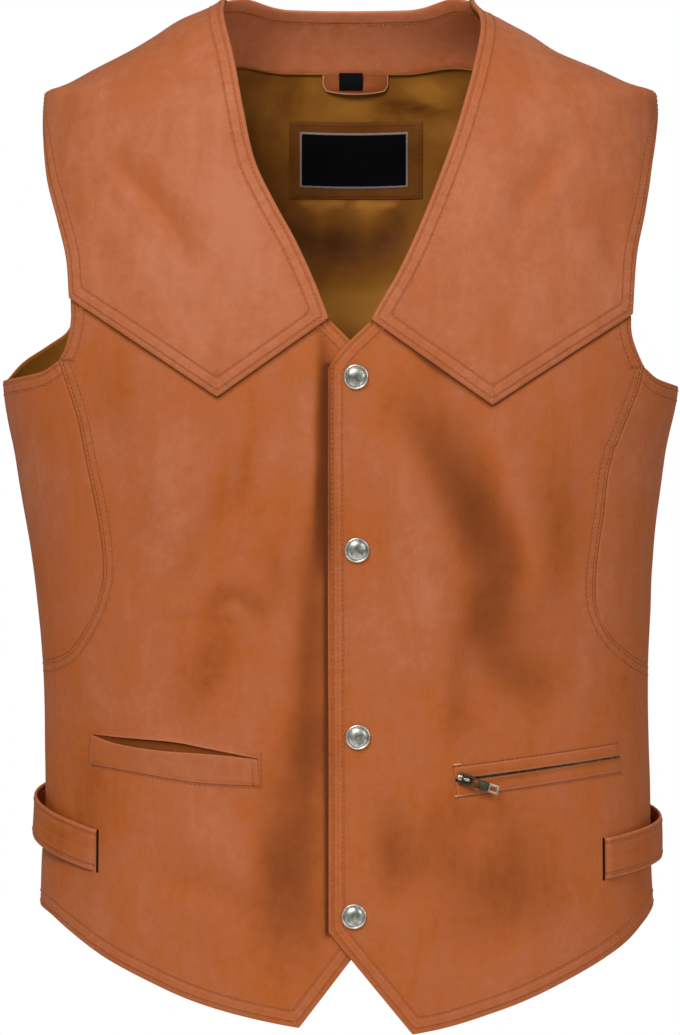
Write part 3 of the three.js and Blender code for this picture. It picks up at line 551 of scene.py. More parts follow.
@dataclass
class PanelGrids:
    """Lays out a panel between its four seams."""

    form: TorsoForm

    def patch(self, bottom: Array, top: Array, left: Array, right: Array, middle: float = 0.0) -> Array:
        """The rows of a panel whose sides are lists of places.

        Args:
            bottom: the lower side, from left to right.
            top: the upper side, from left to right.
            left: the left side, from bottom to top.
            right: the right side, from bottom to top.
            middle: the angle about which the sides are laid out flat.

        Returns:
            The places, row by row from the bottom.
        """
        turned = -1 if middle else 1

        def flat(side: Array) -> Array:
            """The side's places laid out flat."""
            turn = side[:, 0] - middle
            return np.stack([turn * self.form.half_width(turned * turn, side[:, 1]), side[:, 1]], axis=1)

        b, t, l, r = (flat(side) for side in (bottom, top, left, right))
        u = np.linspace(0, 1, len(b))[None, :, None]
        v = np.linspace(0, 1, len(l))[:, None, None]
        corners = (b[0] * (1 - u) + b[-1] * u) * (1 - v) + (t[0] * (1 - u) + t[-1] * u) * v
        spots = b[None] * (1 - v) + t[None] * v + l[:, None] * (1 - u) + r[:, None] * u - corners
        girth = self.form.half_width(turned * spots[..., 0], spots[..., 1])
        return np.stack([middle + spots[..., 0] / girth, spots[..., 1]], axis=-1)


@dataclass(frozen=True)
class Steps:
    """How many steps each seam is cut into. Panels that meet share them."""

    yoke_front_leg: int = 42
    yoke_back_leg: int = 54
    point: int = 24
    side_seam: int = 36
    panel_foot: int = 28
    panel_seam: int = 60
    under_yoke: int = 18
    yoke_rise: int = 66
    shoulder: int = 48
    back_neck: int = 72
    back_underarm: int = 24
    back_armhole: int = 54


@dataclass
class SideSeams:
    """The seams of one side of the body. In its tables, x is the distance outwards from the
    centre line as the front view shows it, and a negative x is past it, in the overlap."""

    side: Side
    form: TorsoForm
    steps: Steps = field(default_factory=Steps)
    fine: int = 8
    high_shoulder_z: float = 31
    shoulder_tip_z: float = -28.5
    side_hem_z: float = -529
    opening_bend: Point = (-6, -190)
    opening_top: Point = (-13.5, -200.5)
    opening_foot: Point = (-13, -538)
    tables: dict = field(default_factory=lambda: {
        Side.RIGHT: {
            "underarm_z": -205.5,
            "panel_foot_z": -378,
            "neck_edge": ((78, 20), (71, -11), (65, -43), (57.8, -75), (46, -100), (33, -124), (22, -148)),
            "yoke_front_end": (13.2, -170.5),
            "yoke_point": (79.6, -217.4),
            "yoke_at_armhole": (169.5, -157),
            "armhole_by_yoke": ((188.6, -48), (184.9, -83), (177.9, -108.5), (171.8, -132)),
            "armhole_by_front": ((169.4, -171), (173.1, -187.5)),
            "side_seam_top": (177, -194.5),
            "underarm": ((186, -200.5), (199, -203.6)),
            "back_underarm": ((206, -193), (192.3, -182.5)),
            "back_armhole_foot": (179, -173),
            "back_armhole": ((173.5, -158), (174, -135), (179, -100), (186, -60)),
            "panel_seam": (
                (174, -203), (165.6, -228), (158.9, -258.5), (152.8, -289.5), (149.8, -312.5), (149.9, -328),
            ),
            "panel_corner": (155, -346.5),
            "panel_foot": ((162.7, -360.5), (171.1, -371.5), (181, -376.5)),
            "hem_tip": (31, -595.5),
            "hem_front": (
                (50, -592), (74, -586.5), (98.5, -579), (122.5, -568.8), (147.5, -556.8), (160, -549),
                (173, -540), (184, -532.5),
            ),
        },
        Side.LEFT: {
            "underarm_z": -209,
            "panel_foot_z": -381,
            "neck_edge": (
                (80.5, 15), (75.3, -16), (69.5, -38), (63.4, -58), (47, -102.5), (29.4, -142), (19, -160),
            ),
            "yoke_front_end": (12.6, -171.5),
            "yoke_point": (84.7, -222.2),
            "yoke_at_armhole": (170.5, -166.5),
            "armhole_by_yoke": ((188.9, -42), (186.1, -64), (180.2, -98.5), (173.3, -130)),
            "armhole_by_front": ((171, -178), (173.4, -186)),
            "side_seam_top": (179, -198),
            "underarm": ((187, -204.5), (196, -207.5)),
            "back_underarm": ((193, -206), (182, -199.5)),
            "back_armhole_foot": (173.5, -190),
            "back_armhole": ((169, -170), (170, -138), (176, -100), (185, -60)),
            "panel_seam": (
                (176, -210), (164.2, -238.5), (157.4, -257), (153.1, -289.5), (148.9, -320.5), (148.9, -343),
            ),
            "panel_corner": (153.3, -354.5),
            "panel_foot": ((158.5, -362), (164.9, -368.5), (175, -376)),
            "hem_tip": (37.5, -599.5),
            "hem_front": (
                (57.5, -595.5), (81.5, -588.5), (105.5, -580.2), (130, -569.3), (155, -556.5), (168, -548.2),
                (181, -536.5),
            ),
        },
    })

    def __post_init__(self) -> None:
        """Lays out the seams, each outwards or upwards."""
        cut, steps = self.tables[self.side], self.steps
        tip = self.edge(self.shoulder_tip_z)
        self.opening_edge = self.seam(
            steps.side_seam + steps.panel_foot + steps.panel_seam, self.opening_foot, self.opening_top
        )
        self.opening_to_yoke = self.seam(
            steps.under_yoke, self.opening_top, self.opening_bend, cut["yoke_front_end"]
        )
        self.yoke_front_leg = self.seam(steps.yoke_front_leg, cut["yoke_front_end"], cut["yoke_point"])
        self.yoke_back_leg = self.seam(steps.yoke_back_leg, cut["yoke_point"], cut["yoke_at_armhole"])
        self.hem_point = self.seam(steps.point, self.opening_foot, cut["hem_tip"])
        self.hem = self.seam(
            steps.yoke_front_leg + steps.yoke_back_leg - steps.point,
            cut["hem_tip"], *cut["hem_front"], self.edge(self.side_hem_z),
        )
        self.lower_side = self.up_side(self.side_hem_z, cut["panel_foot_z"], steps.side_seam)
        self.upper_side = self.up_side(cut["panel_foot_z"], cut["underarm_z"], steps.panel_seam)
        self.panel_foot = self.seam(
            steps.panel_foot, self.edge(cut["panel_foot_z"]), *cut["panel_foot"][::-1], cut["panel_corner"]
        )
        self.panel_seam = self.seam(
            steps.panel_seam, cut["panel_corner"], *cut["panel_seam"][::-1], cut["side_seam_top"]
        )
        self.underarm = self.seam(
            steps.panel_foot, self.edge(cut["underarm_z"]), *cut["underarm"][::-1], cut["side_seam_top"]
        )
        self.armhole_to_yoke = self.seam(
            steps.under_yoke, cut["side_seam_top"], *cut["armhole_by_front"][::-1], cut["yoke_at_armhole"]
        )
        self.yoke_armhole = self.seam(
            steps.yoke_rise, cut["yoke_at_armhole"], *cut["armhole_by_yoke"][::-1], tip
        )
        self.yoke_neck = self.seam(
            steps.yoke_rise, cut["yoke_front_end"], *cut["neck_edge"][::-1], self.edge(self.high_shoulder_z)
        )
        self.shoulder = self.up_side(
            self.high_shoulder_z, self.shoulder_tip_z, steps.yoke_front_leg + steps.yoke_back_leg
        )
        self.back_underarm = self.seam(
            steps.back_underarm, self.edge(cut["underarm_z"]), *cut["back_underarm"],
            cut["back_armhole_foot"], face=Face.BACK,
        )
        self.back_armhole = self.seam(
            steps.back_armhole, cut["back_armhole_foot"], *cut["back_armhole"], tip, face=Face.BACK
        )

    def edge(self, z: float) -> Point:
        """The point at the body's side, as a table gives it."""
        return float(self.form.half_width(self.side.value, z)), z

    def seam(self, steps: int, *points: Point, face: Face = Face.FRONT) -> Array:
        """Lays a smooth seam.

        Args:
            steps: how many equal steps it is cut into.
            points: the points of the tables that it passes through.
            face: the face that it is seen from.

        Returns:
            Its places.
        """
        line = curve_through([(self.side.value * x, z) for x, z in points], steps * self.fine)
        dense = self.form.place_at(line[:, 0], line[:, 1], face)
        run = travelled(self.form.point(dense))
        at = np.linspace(0, run[-1], steps + 1)
        return np.stack([np.interp(at, run, dense[:, k]) for k in (0, 1)], axis=1)

    def up_side(self, low: float, high: float, steps: int) -> Array:
        """Places up the body's side between two heights."""
        z = np.linspace(low, high, steps + 1)
        return np.stack([np.full_like(z, self.side.value * math.pi / 2), z], axis=1)


@dataclass
class Shell:
    """A wall of cloth over a grid of points, with what its finish reads at each of them.

    The edge is the distance in from the nearest stitched edge, the run is the distance along
    it, and the tone is the painted shade and highlight that the folds put on the cloth."""

    outer: Array
    inner: Array
    keep: Array
    edge: Array
    run: Array
    tone: Array

    @property
    def normals(self) -> Array:
        """The directions from the inner points to the outer ones."""
        return unit(self.outer - self.inner)

    @property
    def cells(self) -> Array:
        """Which of the grid's cells are walled: those with all four corners."""
        keep = self.keep
        return keep[:-1, :-1] & keep[1:, :-1] & keep[:-1, 1:] & keep[1:, 1:]


@dataclass
class ShellMesher:
    """Turns a shell into a closed mesh with rounded edges, in metres."""

    bulge_steps: int = 3
    far: float = 40.0

    def border(self, quads: Array, flip: bool) -> dict[int, int]:
        """Finds the border of a grid of faces.

        Args:
            quads: the faces' vertices, four to a row.
            flip: whether the border is followed the other way round.

        Returns:
            The next vertex along the border, for each vertex on it.
        """
        sides = list(zip(quads.ravel().tolist(), np.roll(quads, -1, axis=1).ravel().tolist()))
        known = set(sides)
        return dict((b, a) if flip else (a, b) for a, b in sides if (b, a) not in known)

    def mesh(self, name: str, shell: Shell) -> bpy.types.Mesh:
        """Makes a shell's mesh.

        Args:
            name: the mesh's name.
            shell: the wall.

        Returns:
            A closed mesh, smooth all over.
        """
        used = np.zeros_like(shell.keep)
        most, rest = slice(None, -1), slice(1, None)
        for corner in ((most, most), (most, rest), (rest, most), (rest, rest)):
            used[corner] |= shell.cells
        count = int(used.sum())
        index = np.full(used.shape, -1)
        index[used] = np.arange(count)
        corners = np.stack([index[:-1, :-1], index[:-1, 1:], index[1:, 1:], index[1:, :-1]], -1)[shell.cells]
        outer, inner = shell.outer[used], shell.inner[used]
        a, b, d = (outer[corners[:, k]] for k in (0, 1, 3))
        flip = float(np.sum(np.cross(b - a, d - a) * (outer - inner)[corners[:, 0]])) < 0
        faces = (corners[:, ::-1] if flip else corners).tolist()
        faces += ((corners if flip else corners[:, ::-1]) + count).tolist()
        verts = [outer, inner]
        fields = {key: [getattr(shell, key)[used]] * 2 for key in ("edge", "run", "tone")}
        ahead = self.border(corners, flip)
        back = {b: a for a, b in ahead.items()}
        place = {vertex: k for k, vertex in enumerate(ahead)}
        turned = np.array([place[vertex] for vertex in ahead.values()])
        ids = np.array(list(ahead))
        after, before = (np.array([way[vertex] for vertex in ahead]) for way in (ahead, back))
        top, bottom = outer[ids], inner[ids]
        half = (top - bottom) / 2
        outward = unit(np.cross(unit(outer[after] - outer[before]), half))
        radius = np.linalg.norm(half, axis=1, keepdims=True)
        rings = [ids]
        for k in range(1, self.bulge_steps + 1):
            turn = math.pi * k / (self.bulge_steps + 1)
            verts.append((top + bottom) / 2 + half * math.cos(turn) + outward * radius * math.sin(turn))
            rings.append(np.arange(len(ids)) + 2 * count + (k - 1) * len(ids))
            for values in fields.values():
                values.append(values[0][ids])
        rings.append(ids + count)
        for upper, lower in zip(rings, rings[1:]):
            faces += np.stack([upper[turned], upper, lower, lower[turned]], axis=1).tolist()
        return self.finished(name, np.vstack(verts) * MM, faces, fields, self.cloth_uv(shell, used, rings))

    def cloth_uv(self, shell: Shell, used: Array, rings: Sequence[Array]) -> Array:
        """Works out the cloth's own coordinates.

        Args:
            shell: the wall.
            used: which of its grid's points are in the mesh.
            rings: the vertices along its border, row by row from the outer face to the inner.

        Returns:
            The coordinates in metres, for the mesh's vertices in order.
        """
        def walked(axis: int) -> Array:
            """The distance along the grid's lines on one axis from their first kept point."""
            step = np.linalg.norm(np.diff(np.nan_to_num(shell.outer), axis=axis), axis=-1)
            step = np.where(step > self.far, 0, step)
            pad = [(1, 0), (0, 0)] if axis == 0 else [(0, 0), (1, 0)]
            return np.cumsum(np.pad(step, pad), axis=axis)

        flat = np.stack([walked(1)[used], walked(0)[used]], axis=-1) * MM
        return np.vstack([flat, flat, *[flat[rings[0]] for _ in rings[1:-1]]])

    def finished(self, name: str, verts: Array, faces: list, fields: dict, flat: Array) -> bpy.types.Mesh:
        """Makes a smooth mesh.

        Args:
            name: its name.
            verts: its vertices, in metres.
            faces: its faces.
            fields: the values of its attributes, in millimetres.
            flat: the cloth's coordinates of its vertices, for its UV map.

        Returns:
            The mesh.
        """
        mesh = bpy.data.meshes.new(name)
        mesh.from_pydata(verts.tolist(), [], faces)
        mesh.polygons.foreach_set("use_smooth", np.ones(len(faces), bool))
        for key, values in fields.items():
            layer = mesh.attributes.new(key, "FLOAT", "POINT")
            layer.data.foreach_set("value", np.concatenate(values).astype(np.float32) * MM)
        loops = np.zeros(len(mesh.loops), np.int32)
        mesh.loops.foreach_get("vertex_index", loops)
        uv = mesh.uv_layers.new(name="UVMap")
        uv.data.foreach_set("uv", flat[loops].astype(np.float32).ravel())
        mesh.update()
        return mesh


class EdgeField:
    """Distances in from stitched edges, and along them."""

    def __init__(self, edges: Iterable[tuple[Array, float]], far: float = 40.0, spacing: float = 1.0) -> None:
        """Samples the edges.

        Args:
            edges: each edge's points and the factor that its distances are multiplied by.
            far: the greatest distance.
            spacing: the distance between samples.
        """
        self.far = far
        self.samples: list[tuple[float, float]] = []
        points = []
        start = 0.0
        for line, factor in edges:
            run = travelled(line)
            at = np.arange(0, run[-1], spacing)
            points.append(np.stack([np.interp(at, run, line[:, k]) for k in range(3)], axis=1))
            self.samples += [(factor, start + value) for value in at]
            start += run[-1] + self.far
        self.points = np.vstack(points)
        self.tree = kdtree.KDTree(len(self.points))
        for k, point in enumerate(self.points):
            self.tree.insert(point, k)
        self.tree.balance()

    def measure(self, points: Array) -> tuple[Array, Array]:
        """Measures points.

        Args:
            points: the points.

        Returns:
            The distance of each from the nearest edge, and the distance along that edge.
        """
        flat = np.nan_to_num(points.reshape(-1, 3), nan=1e4)
        found = [self.tree.find(p) for p in flat]
        near = np.array([min(self.far, d * self.samples[k][0]) for _, k, d in found])
        run = np.array([self.samples[k][1] for _, k, _ in found])
        return near.reshape(points.shape[:-1]), run.reshape(points.shape[:-1])


def contour(shell: Shell, level: float, shortest: float = 12.0) -> list[tuple[Array, Array]]:
    """The lines on a shell's outer face that lie one distance in from its stitched edges.

    Args:
        shell: the wall.
        level: the distance from the edge.
        shortest: lines shorter than this are left out.

    Returns:
        Each line's points and the cloth's outward directions at them.
    """
    value = shell.edge - level
    normals = shell.normals
    crossing: dict[tuple, tuple[Array, Array]] = {}

    def cut(a: tuple[int, int], b: tuple[int, int]) -> tuple | None:
        """The key of the place where the level crosses the side of a cell from a to b, if it does."""
        if (value[a] > 0) == (value[b] > 0):
            return None
        key = (min(a, b), max(a, b))
        if key not in crossing:
            t = value[a] / (value[a] - value[b])
            out = unit(normals[a] * (1 - t) + normals[b] * t)
            crossing[key] = (shell.outer[a] * (1 - t) + shell.outer[b] * t, out)
        return key

    links: dict[tuple, list[tuple]] = {}
    above = value > 0
    corners = [above[:-1, :-1], above[:-1, 1:], above[1:, 1:], above[1:, :-1]]
    mixed = shell.cells & ~(np.logical_and.reduce(corners) | ~np.logical_or.reduce(corners))
    for i, j in np.argwhere(mixed):
        i, j = int(i), int(j)
        ring = [(i, j), (i, j + 1), (i + 1, j + 1), (i + 1, j)]
        found = [key for k in range(4) if (key := cut(ring[k], ring[(k + 1) % 4]))]
        for p, q in zip(found[::2], found[1::2]):
            links.setdefault(p, []).append(q)
            links.setdefault(q, []).append(p)
    lines = []
    left = set(links)
    for start in sorted(links, key=lambda key: (len(links[key]), key)):
        if start not in left:
            continue
        path, at = [start], start
        left.discard(start)
        while steps := [key for key in links[at] if key in left]:
            at = steps[0]
            left.discard(at)
            path.append(at)
        points = np.array([crossing[key][0] for key in path])
        outs = np.array([crossing[key][1] for key in path])
        if np.sum(np.linalg.norm(np.diff(points, axis=0), axis=1)) > shortest:
            lines.append((points, outs))
    return lines


def tube(name: str, path: Array, radius: float, sides: int = 10) -> bpy.types.Mesh:
    """A round cord of cloth or metal along a path.

    Args:
        name: the mesh's name.
        path: the points along its middle, in millimetres.
        radius: its radius.
        sides: how many faces go round it.

    Returns:
        A closed mesh with round ends, in metres.
    """
    along = unit(np.roll(path, -1, axis=0) - np.roll(path, 1, axis=0))
    along[0], along[-1] = unit(path[1] - path[0]), unit(path[-1] - path[-2])
    across = np.cross(along, (0.0, 0.0, 1.0))
    upright = np.linalg.norm(across, axis=1, keepdims=True) < 0.3
    across = unit(np.where(upright, np.cross(along, (0.0, 1.0, 0.0)), across))
    for k in range(1, len(path)):
        across[k] = across[k] if across[k] @ across[k - 1] > 0 else -across[k]
    up = np.cross(across, along)
    turns = np.linspace(0, 2 * math.pi, sides, endpoint=False)
    ring = [across * math.cos(t) + up * math.sin(t) for t in turns]
    caps = ((0.86, 0.5), (1.0, 0.05))
    start = [path[0] - along[0] * radius * reach for reach, _ in caps[::-1]]
    end = [path[-1] + along[-1] * radius * reach for reach, _ in caps]
    centres = np.vstack([start, path, end])
    shares = [share for _, share in caps]
    radii = radius * np.array([*shares[::-1], *[1] * len(path), *shares])
    ring = [np.vstack([v[:1], v[:1], v, v[-1:], v[-1:]]) for v in ring]
    verts = (centres[:, None] + np.stack(ring, axis=1) * radii[:, None, None]).reshape(-1, 3)
    count = len(centres)
    faces = []
    for k in range(count - 1):
        for j in range(sides):
            a, b = k * sides + j, k * sides + (j + 1) % sides
            faces.append((a, b, b + sides, a + sides))
    faces += [tuple(range(sides - 1, -1, -1)), tuple(range((count - 1) * sides, count * sides))]
    return plain_mesh(name, verts, faces)


def placed_object(name: str, data: bpy.types.ID) -> bpy.types.Object:
    """A new object with that data, in the scene."""
    made = bpy.data.objects.new(name, data)
    bpy.context.scene.collection.objects.link(made)
    return made


def plain_mesh(name: str, verts: Array, faces: Sequence[tuple]) -> bpy.types.Mesh:
    """Makes a smooth mesh whose faces are turned outwards.

    Args:
        name: its name.
        verts: its vertices, in millimetres.
        faces: its faces.

    Returns:
        The mesh, in metres.
    """
    mesh = bpy.data.meshes.new(name)
    mesh.from_pydata((np.asarray(verts) * MM).tolist(), [], list(faces))
    shape = bmesh.new()
    shape.from_mesh(mesh)
    bmesh.ops.recalc_face_normals(shape, faces=shape.faces)
    shape.to_mesh(mesh)
    shape.free()
    mesh.polygons.foreach_set("use_smooth", np.ones(len(mesh.polygons), bool))
    mesh.update()
    return mesh


def sum_of(operation: str) -> tuple[Callable, Callable]:
    """The operator of a wire that adds one kind of Math node, and its reflected form."""
    def straight(wire: "Wire", other: "Wire | float") -> "Wire":
        """The node with the wire first."""
        return wire.math(operation, wire, other)

    def reflected(wire: "Wire", other: float) -> "Wire":
        """The node with the wire second."""
        return wire.math(operation, other, wire)

    return straight, reflected


class Wire:
    """A shader or geometry socket that takes part in sums and products."""

    def __init__(self, graph: "Graph", socket: bpy.types.NodeSocket) -> None:
        """Wraps an output socket of a graph."""
        self.graph = graph
        self.socket = socket

    def math(self, operation: str, *values: "Wire | float") -> "Wire":
        """A Math node on the values."""
        inputs = dict(enumerate(values))
        return self.graph.node("ShaderNodeMath", {"operation": operation}, inputs)["Value"]

    __add__, __radd__ = sum_of("ADD")
    __sub__, __rsub__ = sum_of("SUBTRACT")
    __mul__, __rmul__ = sum_of("MULTIPLY")
    __truediv__, __rtruediv__ = sum_of("DIVIDE")

    def bell(self, centre: float, width: float) -> "Wire":
        """1 where the value is at the centre, falling to 0 a width or so away."""
        away = (self - centre) / width
        return self.math("EXPONENT", away * away * -1)

    def step(self, low: float, high: float) -> "Wire":
        """A smooth step from 0 at low to 1 at high."""
        inputs = {"Value": self, "From Min": low, "From Max": high}
        return self.graph.node("ShaderNodeMapRange", {"interpolation_type": "SMOOTHSTEP"}, inputs)["Result"]


class Made:
    """A node that has been added, whose outputs are read by name."""

    def __init__(self, graph: "Graph", node: bpy.types.Node) -> None:
        """Wraps a node of a graph."""
        self.graph = graph
        self.node = node

    def __getitem__(self, key: str) -> Wire:
        """The output socket of that name or identifier."""
        return Wire(self.graph, self.graph.find(self.node.outputs, key))


class Graph:
    """A node tree with one method that adds every kind of node."""

    def __init__(self, tree: bpy.types.NodeTree) -> None:
        """Wraps an empty node tree."""
        self.tree = tree

    def find(self, sockets: Iterable, key: str | int) -> bpy.types.NodeSocket:
        """Finds a socket.

        Args:
            sockets: a node's inputs or outputs.
            key: the socket's name or identifier, or its number among the enabled ones.

        Returns:
            The socket.
        """
        if isinstance(key, int):
            return [s for s in sockets if s.enabled][key]
        for socket in sockets:
            if socket.enabled and key in (socket.identifier, socket.name):
                return socket
        raise KeyError(f"no socket {key}")

    def node(self, kind: str, settings: dict | None = None, inputs: dict | None = None) -> Made:
        """Adds a node.

        Args:
            kind: the node's type.
            settings: its properties, or a ramp's stops, which are set first.
            inputs: its sockets' values or links, by name, identifier or number.

        Returns:
            The node that was made.
        """
        node = self.tree.nodes.new(kind)
        for key, value in (settings or {}).items():
            if key == "stops":
                elements = node.color_ramp.elements
                while len(elements) < len(value):
                    elements.new(0.5)
                for element, (place, colour) in zip(elements, value):
                    element.position, element.color = place, (*colour, 1)
            else:
                setattr(node, key, value)
        for key, value in (inputs or {}).items():
            socket = self.find(node.inputs, key)
            if isinstance(value, Wire):
                self.tree.links.new(value.socket, socket)
            elif isinstance(value, tuple) and socket.type == "RGBA":
                socket.default_value = (*value, 1)
            else:
                socket.default_value = value
        return Made(self, node)


class Finish(Graph):
    """A material under construction."""

    def __init__(self, name: str) -> None:
        """Starts a material with an empty tree."""
        self.material = bpy.data.materials.new(name)
        self.material.use_nodes = True
        super().__init__(self.material.node_tree)
        self.tree.nodes.clear()

    def mix(self, share: Wire | float, first: Wire | Colour, second: Wire | Colour) -> Wire:
        """One colour from two."""
        settings = {"data_type": "RGBA", "clamp_factor": True}
        inputs = {"Factor_Float": share, "A_Color": first, "B_Color": second}
        return self.node("ShaderNodeMix", settings, inputs)["Result_Color"]

    def attribute(self, name: str) -> Wire:
        """A float attribute of the mesh, in millimetres."""
        return self.node("ShaderNodeAttribute", {"attribute_name": name})["Fac"] * 1000

    def place(self, stretch: Colour = (1, 1, 1), cloth: bool = False) -> Wire:
        """Object coordinates, or the cloth's own ones, stretched."""
        spot = self.node("ShaderNodeTexCoord")["UV" if cloth else "Object"]
        return self.node("ShaderNodeMapping", None, {"Vector": spot, "Scale": stretch})["Vector"]

    def clouds(self, where: Wire, scale: float, *shape: float) -> Wire:
        """A noise from about 0 to 1, whose shape is its detail, roughness and distortion."""
        inputs = {"Vector": where, "Scale": scale, **dict(zip(("Detail", "Roughness", "Distortion"), shape))}
        return self.node("ShaderNodeTexNoise", {"noise_dimensions": "3D"}, inputs)["Fac"]

    def bump(self, height: Wire, distance: float, under: Wire | None = None, strength: float = 1.0) -> Wire:
        """Adds a Bump node.

        Args:
            height: the height, in units of the distance.
            distance: the distance, in metres.
            under: the normal that it is laid on.
            strength: the share of it that shows.

        Returns:
            The normal.
        """
        inputs = {"Height": height, "Distance": distance, "Strength": strength}
        if under is not None:
            inputs["Normal"] = under
        return self.node("ShaderNodeBump", None, inputs)["Normal"]

    def surface(self, sockets: dict) -> bpy.types.Material:
        """Ends the material in a Principled surface with these sockets."""
        shader = self.node("ShaderNodeBsdfPrincipled", None, sockets)["BSDF"]
        self.node("ShaderNodeOutputMaterial", None, {"Surface": shader})
        return self.material


@dataclass(frozen=True)
class LeatherFinish:
    """Waxed nappa leather: a mottled tan, with painted highlight that makes it pinker on its ridges and
    painted shade that makes it browner in its folds.
    """

    name: str = "tan_leather"
    # deep is painted shade for the darkest folds; brown is the leather's darker mottle and the painted shade
    # of troughs, grooves and puckers; orange and tan are its own colours; pale is its painted pink sheen,
    # which the mottling also reaches, and the painted edge highlight.
    deep: Colour = (0.118, 0.024, 0.002)
    brown: Colour = (0.34, 0.079, 0.012)
    orange: Colour = (0.405, 0.1, 0.02)
    tan: Colour = (0.405, 0.113, 0.038)
    pale: Colour = (0.455, 0.142, 0.06)
    rows: tuple[float, float] = (2.8, 9.0)
    roughness: float = 0.47
    gloss: float = 0.14
    # The strength of the painted highlight on the turned edges and on the raised bands beside the stitch
    # rows.
    wear: float = 1.0
    cloud_scale: float = 13
    streak_scale: float = 46
    mottle_scale: float = 150
    pucker_scale: float = 260
    wrinkle_scale: float = 190
    ripple_scale: float = 55
    grain_scale: float = 1400
    groove_width: float = 0.75
    band: tuple[float, float] = (3.0, 8.6)

    def darker(self, name: str, share: float, rows: tuple[float, float]) -> "LeatherFinish":
        """The same leather with every colour multiplied by a share."""
        tones = (self.deep, self.brown, self.orange, self.tan, self.pale)
        return LeatherFinish(name, *[tuple(share * c for c in tone) for tone in tones], rows=rows)

    def material(self) -> bpy.types.Material:
        """Builds the leather."""
        make = Finish(self.name)
        where = make.place()
        streaky = make.place((1, 1, 0.3))
        edge = make.attribute("edge")
        run = make.attribute("run")
        tone = make.attribute("tone")
        clouds = make.clouds(where, self.cloud_scale, 3, 0.55, 0.5)
        streaks = make.clouds(streaky, self.streak_scale, 3, 0.6, 0.8)
        mottle = make.clouds(where, self.mottle_scale, 4, 0.65)
        # The tone is painted shade in the folds and at the sides and painted highlight on the ridges; the
        # noises are the leather's own mottling. The ramp runs from brown through orange and tan to the
        # painted pink sheen.
        mottle_and_painted_light = tone * 0.15 + (clouds - 0.5) * 0.85 + (streaks - 0.5) * 0.7 + (mottle - 0.5) * 0.6 + 0.6
        stops = ((0.12, self.brown), (0.4, self.orange), (0.65, self.tan), (0.95, self.pale))
        colour = make.node("ShaderNodeValToRGB", {"stops": stops}, {"Fac": mottle_and_painted_light})["Color"]
        # Painted shade: the deepest folds and the shadow lines beside lapped edges darken towards deep.
        painted_shade = (tone * -0.26 - 0.03) * (1.2 - clouds * 0.4)
        colour = make.mix(painted_shade.step(0.0, 1.0), colour, self.deep)
        first, second = self.rows
        groove = edge.bell(first, self.groove_width) + edge.bell(second, self.groove_width)
        # Painted shade in the stitch grooves.
        colour = make.mix(groove * 0.3, colour, self.brown)
        # Painted highlight on the turned edge and on the raised bands beside the rows.
        turned = 1 - edge.step(0.2, 1.1)
        ridge = (edge.bell(first + 1.6, 0.9) + edge.bell(second - 1.6, 0.9)) * 0.3
        colour = make.mix((turned * 0.6 + ridge) * self.wear, colour, self.pale)
        beside = make.node("ShaderNodeCombineXYZ", None, {"X": run * 0.001, "Y": edge * 0.0003})["Vector"]
        pucker = make.clouds(beside, self.pucker_scale, 2, 0.6)
        near_rows = edge.bell(first, 3.0) + edge.bell(second, 4.0)
        # Painted shade in the puckers beside the rows.
        colour = make.mix((pucker.step(0.42, 0.7) * near_rows) * 0.28, colour, self.brown)
        start, end = self.band
        band = edge.step(0.3, start) * (1 - edge.step(end, end + 2.6))
        normal = make.bump(band * 0.22 - groove * 0.5 + (pucker - 0.5) * near_rows * 0.8, 0.001)
        wrinkles = make.clouds(where, self.wrinkle_scale, 4, 0.6, 0.9)
        normal = make.bump(wrinkles, 0.0007, normal, 0.35)
        ripples = make.clouds(make.place((1, 1, 0.6)), self.ripple_scale, 2, 0.5, 0.6)
        normal = make.bump(ripples, 0.003, normal, 0.3)
        inputs = {"Vector": where, "Scale": self.grain_scale}
        cells = make.node("ShaderNodeTexVoronoi", {"feature": "DISTANCE_TO_EDGE"}, inputs)["Distance"]
        normal = make.bump(cells.step(0.0, 0.28), 0.0001, normal, 0.5)
        rough = self.roughness + (mottle - 0.5) * 0.2 - (clouds - 0.5) * 0.16
        return make.surface({
            "Base Color": colour, "Roughness": rough, "Normal": normal, "Specular IOR Level": self.gloss,
        })


@dataclass(frozen=True)
class SatinFinish:
    """Mustard satin: fine diagonal twill with a soft sheen, with painted shade deeper in the folds and
    painted highlights on some of them.
    """

    name: str = "mustard_satin"
    light: Colour = (0.43, 0.175, 0.024)
    dark: Colour = (0.23, 0.08, 0.008)
    deep: Colour = (0.09, 0.023, 0.002)
    rib: float = 2400
    roughness: float = 0.5
    gloss: float = 0.14
    shade_scale: float = 22

    def material(self) -> bpy.types.Material:
        """Builds the satin."""
        make = Finish(self.name)
        where = make.place()
        tone = make.attribute("tone")
        shade = make.clouds(where, self.shade_scale, 3, 0.6, 0.5)
        # The level mixes the satin's random variation with its tone, the painted shade and highlight of the
        # lining's creases; the stops run from deep, painted shade, through dark to light, painted highlight.
        level = shade * 0.9 + tone * 0.24 + 0.1
        stops = ((0.0, self.deep), (0.45, self.dark), (0.9, self.light))
        colour = make.node("ShaderNodeValToRGB", {"stops": stops}, {"Fac": level})["Color"]
        cloth = make.place((1, 1, 1), cloth=True)
        inputs = {"Vector": cloth, "Scale": self.rib / 6, "Distortion": 0.3, "Detail": 1.0}
        twill = make.node("ShaderNodeTexWave", {"bands_direction": "DIAGONAL"}, inputs)["Fac"]
        normal = make.bump(make.clouds(where, 45, 2, 0.5, 0.5), 0.0016, None, 0.4)
        normal = make.bump(twill, 0.00008, normal, 0.4)
        return make.surface({
            "Base Color": colour, "Roughness": self.roughness + shade * 0.1, "Normal": normal,
            "Specular IOR Level": self.gloss,
        })


